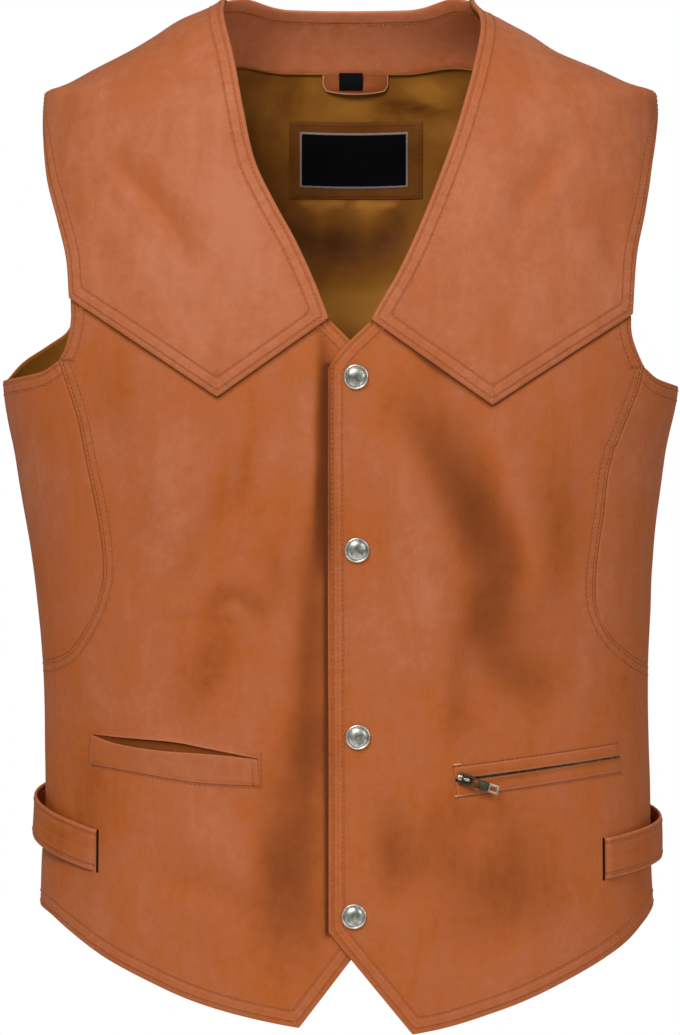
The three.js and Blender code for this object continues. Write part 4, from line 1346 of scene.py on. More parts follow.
@dataclass(frozen=True)
class MetalFinish:
    """A worn plated metal, dulled by a patina in its recesses and, where it has a centre, darker and rougher
    towards it.
    """

    name: str
    bright: Colour
    dull: Colour
    roughness: float = 0.26
    groove: float | None = None
    centre: float | None = None
    scratch: float = 900

    def material(self) -> bpy.types.Material:
        """Builds the metal."""
        make = Finish(self.name)
        where = make.place()
        patina = make.clouds(where, 320, 4, 0.65, 0.5)
        worn = patina.step(0.38, 0.7)
        rough = self.roughness + patina * 0.16
        if self.groove is not None:
            edge = make.attribute("edge")
            ring = edge.bell(self.groove, 0.35)
            middle = edge.step(self.groove, self.centre) * 0.7
            worn = worn * 0.5 + ring + middle * (0.45 + patina * 0.9)
            rough = rough + ring * 0.3 + middle * 0.14
        colour = make.mix(worn, self.bright, self.dull)
        fine = make.clouds(make.place((1, 1, 0.2)), self.scratch, 3, 0.7)
        normal = make.bump(fine, 0.00006, None, 0.5)
        return make.surface({"Base Color": colour, "Metallic": 1.0, "Roughness": rough, "Normal": normal})


@dataclass(frozen=True)
class ThreadFinish:
    """Twisted sewing thread."""

    name: str = "tan_thread"
    colour: Colour = (0.50, 0.155, 0.05)
    shade: Colour = (0.33, 0.085, 0.02)

    def material(self) -> bpy.types.Material:
        """Builds the thread."""
        make = Finish(self.name)
        where = make.place()
        twist = make.clouds(where, 2600, 2, 0.6)
        colour = make.mix(twist.step(0.35, 0.65), self.shade, self.colour)
        return make.surface({
            "Base Color": colour, "Roughness": 0.62, "Normal": make.bump(twist, 0.0001, None, 0.6),
        })


@dataclass(frozen=True)
class WovenFinish:
    """A plain woven tape or label, with a border of another colour where it has one."""

    name: str
    colour: Colour
    trim: Colour | None = None
    trim_width: float = 1.5
    threads: float = 1500
    blur: float = 0.12
    roughness: float = 0.75
    gloss: float = 0.05

    def material(self) -> bpy.types.Material:
        """Builds the weave."""
        make = Finish(self.name)
        cloth = make.place((1, 1, 1), cloth=True)
        inputs = {"Vector": cloth, "Scale": self.threads / 6}
        warp, weft = (make.node("ShaderNodeTexWave", {"bands_direction": way}, inputs) for way in "XY")
        weave = warp["Fac"] * 0.5 + weft["Fac"] * 0.5
        base = make.mix(weave * 0.35, self.colour, tuple(0.55 * c for c in self.colour))
        if self.trim is not None:
            inside = make.attribute("edge").step(self.trim_width - self.blur, self.trim_width + self.blur)
            base = make.mix(inside, make.mix(weave, self.trim, tuple(0.6 * c for c in self.trim)), base)
        return make.surface({
            "Base Color": base, "Roughness": self.roughness, "Normal": make.bump(weave, 0.00012, None, 0.7),
            "Specular IOR Level": self.gloss,
        })


class Wardrobe:
    """The finishes, each made once."""

    def __init__(self) -> None:
        """Builds every finish."""
        hide = LeatherFinish()
        self.leather = hide.material()
        # The facing's leather is a copy made 1.45 times paler: painted light for the band that sits in shade
        # inside the neck.
        self.facing = hide.darker("facing_leather", 1.45, (-NEAR, 9.0)).material()
        self.hanger = hide.darker("hanger_leather", 0.85, NO_ROWS).material()
        self.trim = hide.darker("pocket_leather", 0.97, (-NEAR, FAR)).material()
        self.strap = hide.darker("strap_leather", 0.95, (STRAP_ROW, FAR)).material()
        self.patch = LeatherFinish(
            "patch_leather", (0.07, 0.02, 0.002), (0.12, 0.036, 0.004), (0.155, 0.05, 0.006),
            (0.18, 0.06, 0.008), (0.22, 0.08, 0.012), NO_ROWS, roughness=0.65, gloss=0.08, wear=0.3,
        ).material()
        # Pale leather for the bar tacks, and for the hanger's rim, where it is a painted highlight.
        self.piping = LeatherFinish(
            "piping_leather", (0.3, 0.11, 0.04), (0.42, 0.17, 0.07), (0.52, 0.23, 0.1), (0.6, 0.28, 0.13),
            (0.68, 0.35, 0.18), rows=NO_ROWS,
        ).material()
        # Pale leather for the straps' cut edges: their own paler colour and a painted highlight along them.
        self.raw_edge = LeatherFinish(
            "raw_edge", (0.3, 0.1, 0.04), (0.4, 0.15, 0.06), (0.5, 0.2, 0.08), (0.58, 0.25, 0.11),
            (0.64, 0.3, 0.15), rows=NO_ROWS,
        ).material()
        # Near-black leather: painted shade inside the pocket's mouth and in the seams' grooves.
        self.recess = LeatherFinish(
            "pocket_inside", (0.06, 0.012, 0.001), (0.11, 0.026, 0.003), (0.17, 0.042, 0.006),
            (0.22, 0.055, 0.009), (0.27, 0.07, 0.012), NO_ROWS, roughness=0.7, gloss=0.06, wear=0.0,
        ).material()
        # Near-black: painted shade in the straps' slots.
        self.slit = LeatherFinish(
            "slit", (0.01, 0.003, 0.001), (0.015, 0.004, 0.001), (0.02, 0.006, 0.001), (0.03, 0.008, 0.002),
            (0.04, 0.01, 0.002), rows=NO_ROWS, roughness=0.8, gloss=0.05, wear=0.0,
        ).material()
        self.lining = SatinFinish().material()
        self.thread = ThreadFinish().material()
        self.rust_thread = ThreadFinish("rust_thread", (0.3, 0.085, 0.022), (0.2, 0.05, 0.012)).material()
        self.dark_thread = ThreadFinish("brown_thread", (0.2, 0.055, 0.013), (0.12, 0.03, 0.007)).material()
        self.label = WovenFinish("black_label", (0.002, 0.002, 0.003), (0.34, 0.27, 0.26), 1.1).material()
        self.tab = WovenFinish("black_tab", (0.006, 0.006, 0.008)).material()
        self.tape = WovenFinish("zip_tape", (0.035, 0.014, 0.006)).material()
        self.brass = MetalFinish("antique_brass", (0.12, 0.1, 0.07), (0.02, 0.016, 0.012), 0.34).material()
        self.bead = MetalFinish("worn_bead", (0.6, 0.56, 0.46), (0.26, 0.24, 0.18), 0.24).material()
        self.nickel = MetalFinish(
            "antique_nickel", (0.86, 0.83, 0.74), (0.2, 0.2, 0.17), 0.2, groove=1.35, centre=3.4
        ).material()


@dataclass
class PieceMaker:
    """Gives each mesh its object, finish and body, and keeps count of the pieces."""

    wardrobe: Wardrobe
    mesher: ShellMesher = field(default_factory=ShellMesher)
    least_sheet: float = 10.0
    made: list[bpy.types.Object] = field(default_factory=list)

    def add(
        self, name: str, mesh: bpy.types.Mesh, finish: bpy.types.Material, slot: Slot,
        replaces: Sequence[str] = (), body: str = VEST_BODY,
    ) -> bpy.types.Object:
        """Adds a piece.

        Args:
            name: its name.
            mesh: its mesh, in metres.
            finish: its material.
            slot: the record's slot; it is not used.
            replaces: the solids that it stands for.
            body: the body that it moves with.

        Returns:
            The piece.
        """
        piece = placed_object(name, mesh)
        mesh.materials.clear()
        mesh.materials.append(finish)
        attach(piece, body)
        if replaces:
            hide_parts(*replaces)
        self.made.append(piece)
        LOG.info("%s: %d faces", name, len(mesh.polygons))
        return piece

    def sheet(
        self, name: str, shell: Shell, finish: bpy.types.Material, slot: Slot, replaces: Sequence[str] = (),
        sewn: Sequence[bpy.types.Object] = (), held: str = "hung",
    ) -> bpy.types.Object:
        """Adds a shell of cloth as a piece, and states its flat cut: its longest row and column
        and its area.

        Args:
            name: its name.
            shell: its wall.
            finish: its material.
            slot: the record's slot.
            replaces: the solids that it stands for.
            sewn: the stitch rows on it; it is not used.
            held: how it is held; it is not used.

        Returns:
            The piece.
        """
        piece = self.add(name, self.mesher.mesh(name, shell), finish, slot, replaces)
        points = np.where(shell.keep[..., None], shell.outer, np.nan)
        width = np.nansum(np.linalg.norm(np.diff(points, axis=1), axis=-1), axis=1).max() * MM
        length = np.nansum(np.linalg.norm(np.diff(points, axis=0), axis=-1), axis=0).max() * MM
        across, up = np.diff(points, axis=1)[:-1], np.diff(points, axis=0)[:, :-1]
        area = float(np.nansum(np.linalg.norm(np.cross(across, up), axis=-1))) * MM * MM
        flat = (float(width), float(length))
        if min(flat) > self.least_sheet * MM:
            LOG.info("%s: cut %.0f x %.0f mm, %.4f m2", name, flat[0] / MM, flat[1] / MM, area)
        return piece


@dataclass
class Stitching:
    """Rows of stitches: small threads laid end to end along lines on the cloth."""

    maker: PieceMaker
    pitch: float = 3.0
    length: float = 2.35
    thickness: float = 0.7
    sink: float = 0.08
    segments: int = 6
    rings: int = 4
    height: float | None = None

    def tree(self, thread: bpy.types.Material) -> bpy.types.NodeTree:
        """Builds the geometry nodes that lay stitches along lines.

        Args:
            thread: the stitches' material.

        Returns:
            The tree, with the stitches' sizes as its inputs.
        """
        tree = bpy.data.node_groups.new("stitch_rows", "GeometryNodeTree")
        face = tree.interface
        face.new_socket("Geometry", in_out="INPUT", socket_type="NodeSocketGeometry")
        for name in ("Pitch", "Length", "Thickness", "Height"):
            face.new_socket(name, in_out="INPUT", socket_type="NodeSocketFloat")
        face.new_socket("Geometry", in_out="OUTPUT", socket_type="NodeSocketGeometry")
        make = Graph(tree)
        given = make.node("NodeGroupInput")
        curve = make.node("GeometryNodeMeshToCurve", None, {"Mesh": given["Geometry"]})["Curve"]
        inputs = {"Curve": curve, "Length": given["Pitch"]}
        rows = make.node("GeometryNodeResampleCurve", {"mode": "LENGTH"}, inputs)["Curve"]
        vector = {"data_type": "FLOAT_VECTOR"}
        out = make.node("GeometryNodeInputNamedAttribute", vector, {"Name": "out"})["Attribute"]
        upright = make.node("FunctionNodeAlignRotationToVector", {"axis": "Z"}, {"Vector": out})["Rotation"]
        inputs = {"Rotation": upright, "Vector": make.node("GeometryNodeInputTangent")["Tangent"]}
        axes = {"axis": "X", "pivot_axis": "Z"}
        turned = make.node("FunctionNodeAlignRotationToVector", axes, inputs)["Rotation"]
        inputs = {"Segments": self.segments, "Rings": self.rings, "Radius": 0.5}
        grain = make.node("GeometryNodeMeshUVSphere", None, inputs)["Mesh"]
        inputs = {"Geometry": grain, "Rotation": (0, math.pi / 2, 0)}
        lying = make.node("GeometryNodeTransform", None, inputs)["Geometry"]
        sizes = {"X": given["Length"], "Y": given["Thickness"], "Z": given["Height"]}
        size = make.node("ShaderNodeCombineXYZ", None, sizes)["Vector"]
        inputs = {"Points": rows, "Instance": lying, "Rotation": turned, "Scale": size}
        placed = make.node("GeometryNodeInstanceOnPoints", None, inputs)["Instances"]
        real = make.node("GeometryNodeRealizeInstances", None, {"Geometry": placed})["Geometry"]
        dressed = make.node("GeometryNodeSetMaterial", None, {"Geometry": real, "Material": thread})
        make.node("NodeGroupOutput", None, {"Geometry": dressed["Geometry"]})
        return tree

    def sew(
        self, name: str, lines: Sequence[tuple[Array, Array]], slot: Slot = Slot.LEATHER,
        thread: bpy.types.Material | None = None,
    ) -> bpy.types.Object:
        """Sews rows along lines.

        Args:
            name: the name of the piece that holds the rows.
            lines: each row's points and outward directions, in millimetres.
            slot: the record's slot.
            thread: the thread, where it isn't the tan one.

        Returns:
            The piece.
        """
        thread = thread or self.maker.wardrobe.thread
        verts, edges, outs = [], [], []
        for points, normals in lines:
            edges += [(len(verts) + k, len(verts) + k + 1) for k in range(len(points) - 1)]
            verts += ((points + normals * self.sink) * MM).tolist()
            outs.append(normals)
        mesh = bpy.data.meshes.new(f"{name}_lines")
        mesh.from_pydata(verts, edges, [])
        layer = mesh.attributes.new("out", "FLOAT_VECTOR", "POINT")
        layer.data.foreach_set("vector", np.vstack(outs).ravel())
        carrier = placed_object(f"{name}_lines", mesh)
        rows = carrier.modifiers.new("rows", "NODES")
        rows.node_group = self.tree(thread)
        height = self.height or self.thickness
        sizes = {"Pitch": self.pitch, "Length": self.length, "Thickness": self.thickness, "Height": height}
        for item in rows.node_group.interface.items_tree:
            if item.in_out == "INPUT" and item.name in sizes:
                rows[item.identifier] = sizes[item.name] * MM
        graph = bpy.context.evaluated_depsgraph_get()
        sewn = bpy.data.meshes.new_from_object(carrier.evaluated_get(graph))
        bpy.data.objects.remove(carrier)
        sewn.polygons.foreach_set("use_smooth", np.ones(len(sewn.polygons), bool))
        return self.maker.add(name, sewn, thread, slot)


def inset(places: Array, form: TorsoForm, amount: float) -> Array:
    """The same grid of places with each edge stood back.

    Args:
        places: the places; those that are missing are nan.
        form: the form that they lie on.
        amount: the distance, in millimetres.

    Returns:
        The moved places.
    """
    has = ~np.isnan(places[..., 0])
    padded = np.pad(has, 1)
    points = form.point(np.nan_to_num(places))
    moved = places.copy()
    for axis in (0, 1):
        before = padded[:-2, 1:-1] if axis == 0 else padded[1:-1, :-2]
        after = padded[2:, 1:-1] if axis == 0 else padded[1:-1, 2:]
        for step, border in ((1, has & after & ~before), (-1, has & before & ~after)):
            toward = np.roll(places, -step, axis=axis)
            gap = np.linalg.norm(np.roll(points, -step, axis=axis) - points, axis=-1)
            share = np.where(border, amount / np.maximum(gap, 1e-6), 0)[..., None]
            moved = moved + np.where(border[..., None], (toward - places) * share, 0)
    return moved


@dataclass
class Panels:
    """The cut of the waistcoat: its panels' leather, and the lining inside them."""

    cloth: Cloth
    inside: Cloth
    maker: PieceMaker
    stitching: Stitching
    leather: float = 1.1
    # The painted shadow line beside lapped edges: its strength in tone and its width.
    lap_tone: float = 4.0
    lap_width: float = 2.2
    lining_gap: float = 0.05
    lining: float = 0.5
    yoke_rise: float = 1.3
    yoke_leather: float = 2.3
    edge_inset: float = 0.75
    lining_inset: float = 1.6
    seam_factor: float = 1.35
    seam_radius: float = 0.55
    seam_depth: float = 0.62
    satin_seam_depth: float = 1.4
    seam_inset: float = 0.25
    back_hem_drop: float = 12
    blade_row_z: float = -178
    back_neck_z: float = 30
    neck_rise: float = 4.5
    neck_reach: float = 0.36
    # Painted highlight: how much pinker the yokes are made, as tone.
    yoke_pale: float = 1.4
    facing_rows: int = 12
    # Painted light: how much paler the facing is made, as tone, inside the shaded neck.
    facing_pale: float = 1.8
    facing_inset: float = 0.4
    facing_piping: float = 0.65

    def __post_init__(self) -> None:
        """Lays out the seams of both sides."""
        self.grids = PanelGrids(self.cloth.form)
        self.seams = {side: SideSeams(side, self.cloth.form) for side in Side}

    def wall(
        self, places: Array, top: float, thick: float, edges: Sequence[tuple[Array, float]],
        side: Side | None = None, gap: float | None = None, cloth: Cloth | None = None,
    ) -> Shell:
        """A shell of cloth over places.

        Args:
            places: the places, nan where there is no cloth.
            top: how far its outer face lies out.
            thick: its thickness.
            edges: the stitched edges, as places with a factor each.
            side: the front that it belongs to.
            gap: how far its edges stand back.
            cloth: the surface that it lies on, where it isn't the outer leather's.

        Returns:
            The shell.
        """
        cloth = cloth or self.cloth
        form = cloth.form
        keep = ~np.isnan(places[..., 0])
        stood = np.nan_to_num(inset(places, form, self.edge_inset if gap is None else gap))
        outer = cloth.points(stood, top, side)
        normal = form.normal(stood)
        tone = cloth.folds.tone(stood)
        blank = np.full(keep.shape, self.maker.mesher.far)
        near, run = blank, np.zeros(keep.shape)
        if edges:
            lines = [(cloth.points(line, top, side), factor) for line, factor in edges]
            near, run = EdgeField(lines, self.maker.mesher.far).measure(outer)
        return Shell(outer, outer - normal * thick, keep, near, run, tone)

    def lined(self, name: str, places: Array, side: Side | None = None) -> None:
        """Adds the lining inside a panel.

        Args:
            name: the lining's name.
            places: the panel's places.
            side: the front that it belongs to.
        """
        coarse = places[::2, ::2]
        top = -self.leather - self.lining_gap
        if "yoke" in name:
            top = self.yoke_rise - self.yoke_leather - self.lining_gap
        shell = self.wall(coarse, top, self.lining, (), side, self.lining_inset)
        self.maker.sheet(name, shell, self.maker.wardrobe.lining, Slot.LINING)

    def panel(
        self, name: str, node: str, places: Array, edges: Sequence[tuple[Array, float]],
        side: Side | None = None, top: float = 0.0, thick: float | None = None, lined: bool = True,
        under: Sequence[Array] = (), pale: float = 0.0,
    ) -> bpy.types.Object:
        """Adds a panel of leather, with its stitch rows and the lining inside it.

        Args:
            name: the panel's name.
            node: the solid that it stands for.
            places: its places.
            edges: its stitched edges, as places with a factor each.
            side: the front that it belongs to.
            top: how far its outer face lies out.
            thick: its thickness.
            lined: whether it has a lining of its own.
            under: the edges that lie on it, beside which a painted shadow line is laid, as places.
            pale: how much painted highlight its leather is given, as tone.

        Returns:
            The panel.
        """
        shell = self.wall(places, top, self.leather if thick is None else thick, edges, side)
        # Painted highlight: the tone is raised by pale.
        shell.tone = shell.tone + pale
        # A painted shadow line beside each edge that laps over the panel.
        if under:
            lines = [(self.cloth.points(line, top, side), 1.0) for line in under]
            near, _ = EdgeField(lines, spacing=0.7).measure(shell.outer)
            shell.tone -= self.lap_tone * np.exp(-((near / self.lap_width) ** 2))
        rows = [line for level in LeatherFinish.rows for line in contour(shell, level)]
        sewn = [self.stitching.sew(f"{name}_stitches", rows)]
        piece = self.maker.sheet(name, shell, self.maker.wardrobe.leather, Slot.LEATHER, (node,), sewn)
        if lined:
            self.lined(f"{name}_lining", places, side)
        return piece

    def join(self, name: str, seam: Array, lined: bool = True) -> None:
        """Closes a seam between two panels with the leather and the satin turned in along it.

        Args:
            name: the seam's name.
            seam: its places.
            lined: whether the satin is turned in too.
        """
        wardrobe = self.maker.wardrobe
        # The leather's tube is near-black: painted shade in the seam's groove.
        layers = (
            ("leather", self.seam_depth, wardrobe.recess, Slot.LEATHER),
            ("lining", self.satin_seam_depth, wardrobe.lining, Slot.LINING),
        )
        for layer, depth, finish, slot in layers[:2 if lined else 1]:
            piece = f"seam_{name}_{layer}"
            line = self.cloth.points(seam, -depth)
            self.maker.add(piece, tube(piece, line, self.seam_radius, 6), finish, slot)

    def fronts(self) -> None:
        """The fronts, the yokes and the side panels."""
        for side in Side:
            seams, word = self.seams[side], side.word
            body = self.grids.patch(
                chain(seams.hem_point, seams.hem),
                chain(seams.yoke_front_leg, seams.yoke_back_leg),
                chain(seams.opening_edge, seams.opening_to_yoke),
                chain(seams.lower_side, seams.panel_foot, seams.panel_seam, seams.armhole_to_yoke),
            )
            free = chain(seams.opening_to_yoke[::-1], seams.opening_edge[::-1], seams.hem_point, seams.hem)
            joined = chain(seams.panel_foot, seams.panel_seam)
            edges = [(free, 1.0), (joined, self.seam_factor), (seams.armhole_to_yoke, 1.0)]
            under = [chain(seams.yoke_front_leg, seams.yoke_back_leg)]
            if side is Side.RIGHT:
                under.append(self.seams[Side.LEFT].opening_edge)
            self.panel(f"front_{word}", f"front_body_{word}", body, edges, side, under=under)
            yoke = self.grids.patch(
                chain(seams.yoke_front_leg, seams.yoke_back_leg),
                seams.shoulder, seams.yoke_neck, seams.yoke_armhole,
            )
            legs = (seams.yoke_front_leg, seams.yoke_back_leg)
            ring = chain(seams.yoke_neck[::-1], *legs, seams.yoke_armhole)
            self.panel(
                f"yoke_{word}", f"front_yoke_{word}", yoke, [(ring, 1.0)], side,
                self.yoke_rise, self.yoke_leather, pale=self.yoke_pale,
            )
            flank = self.grids.patch(seams.panel_foot, seams.underarm, seams.upper_side, seams.panel_seam)
            self.panel(f"flank_{word}", f"side_panel_{word}", flank, [(seams.underarm, 1.0)], side)
            self.join(f"panel_{word}", chain(seams.panel_foot, seams.panel_seam))
            self.join(f"side_{word}", chain(seams.lower_side, seams.upper_side))
            self.join(f"shoulder_{word}", seams.shoulder)

    def across_back(self, start: Array, end: Array, dip: float, steps: int, rise: float = 0.0) -> Array:
        """A line across the back.

        Args:
            start: its place at the wearer's right.
            end: its place at the wearer's left.
            dip: how far it hangs down at the centre.
            steps: how many steps it is cut into.
            rise: how far it rises near each end.

        Returns:
            Its places.
        """
        share = np.linspace(0, 1, steps + 1)
        from_end = np.minimum(1, np.minimum(share, 1 - share) / self.neck_reach)
        sag = dip * 4 * share * (1 - share) - rise * np.sin(math.pi * from_end) ** 2
        line = start + (end - start) * share[:, None]
        line[:, 1] -= sag
        return line

    def back(self) -> None:
        """The two halves of the back, the lining and the band inside the neck."""
        def onward(line: Array) -> Array:
            """The places with angles that run on round the back."""
            return np.stack([np.where(line[:, 0] > 0, line[:, 0] - 2 * math.pi, line[:, 0]), line[:, 1]], 1)

        def both(name: str) -> list[Array]:
            """That seam of each side."""
            return [onward(getattr(self.seams[side], name)) for side in Side]

        steps = self.seams[Side.RIGHT].steps
        shoulders = [line[::2] for line in both("shoulder")]
        underarms, armholes = both("back_underarm"), both("back_armhole")
        flanks = [chain(low, high) for low, high in zip(both("lower_side"), both("upper_side"))]
        middle = steps.back_neck + 2 * steps.shoulder
        feet = [line[-1] for line in underarms]
        blades = self.across_back(*feet, (feet[0][1] + feet[1][1]) / 2 - self.blade_row_z, middle)
        hem_steps = middle + 2 * steps.back_underarm
        hem = self.across_back(flanks[0][0], flanks[1][0], self.back_hem_drop, hem_steps)
        lower = self.grids.patch(hem, chain(underarms[0], blades, underarms[1][::-1]), *flanks, -math.pi)
        neck_dip = SideSeams.high_shoulder_z - self.back_neck_z
        neck = self.across_back(shoulders[0][0], shoulders[1][0], neck_dip, steps.back_neck, self.neck_rise)
        upper = self.grids.patch(blades, chain(shoulders[0][::-1], neck, shoulders[1]), *armholes, -math.pi)
        margin = np.full((len(upper) - 1, steps.back_underarm, 2), np.nan)
        whole = np.vstack([lower, np.hstack([margin, upper[1:], margin])])
        centre = whole.shape[1] // 2
        middle_seam, neck_middle = whole[:, centre], steps.back_neck // 2
        halves = (
            (Side.RIGHT, whole[:, :centre + 1], hem[centre::-1], neck[:neck_middle + 1]),
            (Side.LEFT, whole[:, centre:], hem[centre:], neck[neck_middle:]),
        )
        for (side, half, foot, top), underarm, armhole in zip(halves, underarms, armholes):
            rim = [(foot, 1.0), (chain(underarm, armhole), 1.0), (middle_seam, self.seam_factor), (top, 1.0)]
            self.panel(f"back_{side.word}_leather", f"back_{side.word}", half, rim, lined=False)
        middle = middle_seam.copy()
        middle[[0, -1]] += self.seam_inset * (middle[[1, -2]] - middle[[0, -1]])
        self.join("back", middle, lined=False)
        self.inside_back(whole, neck, steps)

    def inside_back(self, whole: Array, neck: Array, steps: Steps) -> None:
        """Adds the back's satin and the leather band inside the neck.

        Args:
            whole: the places of the whole back, row by row from the hem.
            neck: the places of the neck's edge.
            steps: how many steps the seams have.
        """
        rows = len(whole)
        first = steps.back_underarm + steps.shoulder
        top = -self.leather - self.lining_gap
        wardrobe = self.maker.wardrobe
        satin = whole.copy()
        satin[rows - self.facing_rows:, first:first + steps.back_neck + 1] = np.nan
        shell = self.wall(satin, top, self.lining, (), None, self.lining_inset, self.inside)
        self.maker.sheet("lining_back", shell, wardrobe.lining, Slot.LINING, ("back_lining",))
        band = whole[rows - self.facing_rows - 1:, first:first + steps.back_neck + 1]
        shell = self.wall(band, top, self.leather, [(neck, 1.0)], None, self.facing_inset)
        # Painted light on the facing, which sits in shade inside the neck.
        shell.tone = shell.tone + self.facing_pale
        shell.outer, shell.inner = shell.inner, shell.outer
        sewn = [self.stitching.sew("facing_stitches", contour(shell, LeatherFinish.rows[1]))]
        self.maker.sheet("facing_neck", shell, wardrobe.facing, Slot.LEATHER, ("neck_facing",), sewn)
        foot = self.inside.points(band[0], top - self.leather - self.lining_gap)
        piping = tube("facing_piping", foot, self.facing_piping)
        self.maker.add("facing_piping", piping, wardrobe.lining, Slot.LINING)


@dataclass
class Trims:
    """Lays the small pieces on the cloth, by where the front view shows them."""

    cloth: Cloth
    maker: PieceMaker
    stitching: Stitching
    edge_spacing: float = 0.4
    row_step: float = 1.5

    def slab(
        self, x: Array, z: Array, low: Array | float, high: Array | float, side: Side | None = None,
        face: Face = Face.FRONT, edges: Sequence[str] = ("bottom", "top", "left", "right"),
    ) -> Shell:
        """A wall between two heights above the cloth.

        Args:
            x: the grid's distances to the wearer's left, row by row from the bottom.
            z: its heights.
            low: how far the face on the cloth's side lies out.
            high: how far the face that shows lies out.
            side: the front that it lies on.
            face: whether it is on the front or the back.
            edges: which of its sides are stitched.

        Returns:
            The wall.
        """
        places = self.cloth.form.place_at(x, z, face)
        outer, inner = (self.cloth.points(places, lift, side) for lift in (high, low))
        return self.finish(outer, inner, edges, self.cloth.folds.tone(places))

    def finish(self, outer: Array, inner: Array, edges: Sequence[str], tone: Array) -> Shell:
        """Makes a wall between two grids of points.

        Args:
            outer: the points of the face that shows.
            inner: the points of the other face.
            edges: which of its sides are stitched.
            tone: the painted shade and highlight that the folds put on it.

        Returns:
            The wall, with distances from its stitched sides.
        """
        borders = {"bottom": outer[0], "top": outer[-1], "left": outer[:, 0], "right": outer[:, -1]}
        lines = [(borders[name], 1.0) for name in edges]
        if lines:
            near, run = EdgeField(lines, spacing=self.edge_spacing).measure(outer)
        else:
            near = run = np.full(outer.shape[:2], self.maker.mesher.far)
        return Shell(outer, inner, np.ones(outer.shape[:2], bool), near, run, tone)

    def row(
        self, points: Sequence[Point], side: Side | None, lift: float = 0.0, curved: bool = False
    ) -> tuple[Array, Array]:
        """Lays a line for stitches.

        Args:
            points: the points of the front view that it passes through.
            side: the front that it lies on.
            lift: how far it lies outside the cloth.
            curved: whether it is a smooth curve.

        Returns:
            Its points and the outward directions at them.
        """
        if curved:
            line = curve_through(points, 60)
        else:
            line = chain(*[
                np.linspace(a, b, max(2, int(math.dist(a, b) / self.row_step)) + 1)
                for a, b in zip(points, points[1:])
            ])
        places = self.cloth.form.place_at(line[:, 0], line[:, 1])
        return self.cloth.points(places, lift, side), self.cloth.form.normal(places)


def between(low: Array, high: Array, rows: int) -> tuple[Array, Array]:
    """A grid of x and z between a lower and an upper line of points."""
    share = np.linspace(0, 1, rows + 1)[:, None, None]
    grid = low[None] * (1 - share) + high[None] * share
    return grid[..., 0], grid[..., 1]


@dataclass
class WeltPocket:
    """The open pocket on the wearer's right: its lip, the dark mouth under it and the welt."""

    trims: Trims
    lip: tuple[Point, ...] = (
        (-155.6, -421.2), (-142, -422.3), (-129.2, -423.1), (-105.2, -424.9), (-87, -428.2), (-56, -434.2),
    )
    welt_top: tuple[Point, ...] = (
        (-156.2, -422.4), (-144.2, -426.2), (-126.2, -429.4), (-108.2, -431.2), (-90.2, -432.2),
        (-72, -433.6), (-56, -435.4),
    )
    seam: tuple[Point, ...] = (
        (-157.4, -439.2), (-132.2, -442.8), (-111.2, -446.2), (-90.2, -449.0), (-55, -450.4),
    )
    lip_height: float = 2.4
    lip_rise: float = 1.0
    welt_rise: float = 0.75
    gape: float = 2.2
    mouth_lift: tuple[float, float] = (-0.6, 0.12)
    mouth_reach: tuple[float, float] = (1.5, 0.6)
    lip_depth: float = 0.9
    bars: tuple = (((-53.6, -431.6), (-53.2, -451.2)), ((-158.8, -421.0), (-159.6, -440.5)))
    welt_bar: tuple = ((-58.6, -434.6), (-58.2, -449.6))
    columns: int = 96

    def build(self) -> None:
        """Adds the pocket."""
        trims, wardrobe = self.trims, self.trims.maker.wardrobe
        lip, top, seam = (curve_through(line, self.columns) for line in (self.lip, self.welt_top, self.seam))
        up = np.array([0.0, 1.0])
        below, above = self.mouth_reach
        x, z = between(top - up * below, lip + up * above, 8)
        mouth = trims.slab(x, z, *self.mouth_lift, Side.RIGHT, edges=())
        share = np.linspace(0, 1, 9)[:, None]
        # Painted shade, darkening the mouth towards the lip above it.
        mouth.tone[:] = 1.0 - 4.6 * share**1.5
        trims.maker.sheet("pocket_mouth", mouth, wardrobe.recess, Slot.LEATHER)
        x, z = between(seam, top, 14)
        u = np.linspace(0, 1, self.columns + 1)[None, :]
        v = np.linspace(0, 1, 15)[:, None]
        stand = self.gape * np.sin(math.pi * u) ** 0.8 * v**2
        low = 0.02 + stand * 0.8
        welt = trims.slab(x, z, low, self.welt_rise + stand, Side.RIGHT)
        welt.tone += 0.5 - 1.2 * smooth((0.16 - v) / 0.16)
        rows = [
            trims.row(self.welt_bar, Side.RIGHT, self.welt_rise),
            *[trims.row(bar, Side.RIGHT) for bar in self.bars],
            trims.row([(x + 0.2, z - 1.6) for x, z in self.seam], Side.RIGHT, curved=True),
        ]
        sewn = trims.stitching.sew("welt_stitches", rows, thread=wardrobe.rust_thread)
        trims.maker.sheet("pocket_welt", welt, wardrobe.trim, Slot.LEATHER, ("pocket_welt_right",), (sewn,))
        x, z = between(lip, lip + up * self.lip_height, 6)
        v = np.linspace(0, 1, 7)[:, None]
        fade = np.sin(math.pi * np.clip(u, 0.02, 0.98)) ** 0.5
        rise = 0.12 + self.lip_rise * (1 - v) ** 1.6 * fade
        edge = trims.slab(x, z, rise - self.lip_depth, rise, Side.RIGHT, edges=("bottom",))
        trims.maker.sheet("pocket_lip", edge, wardrobe.trim, Slot.LEATHER)


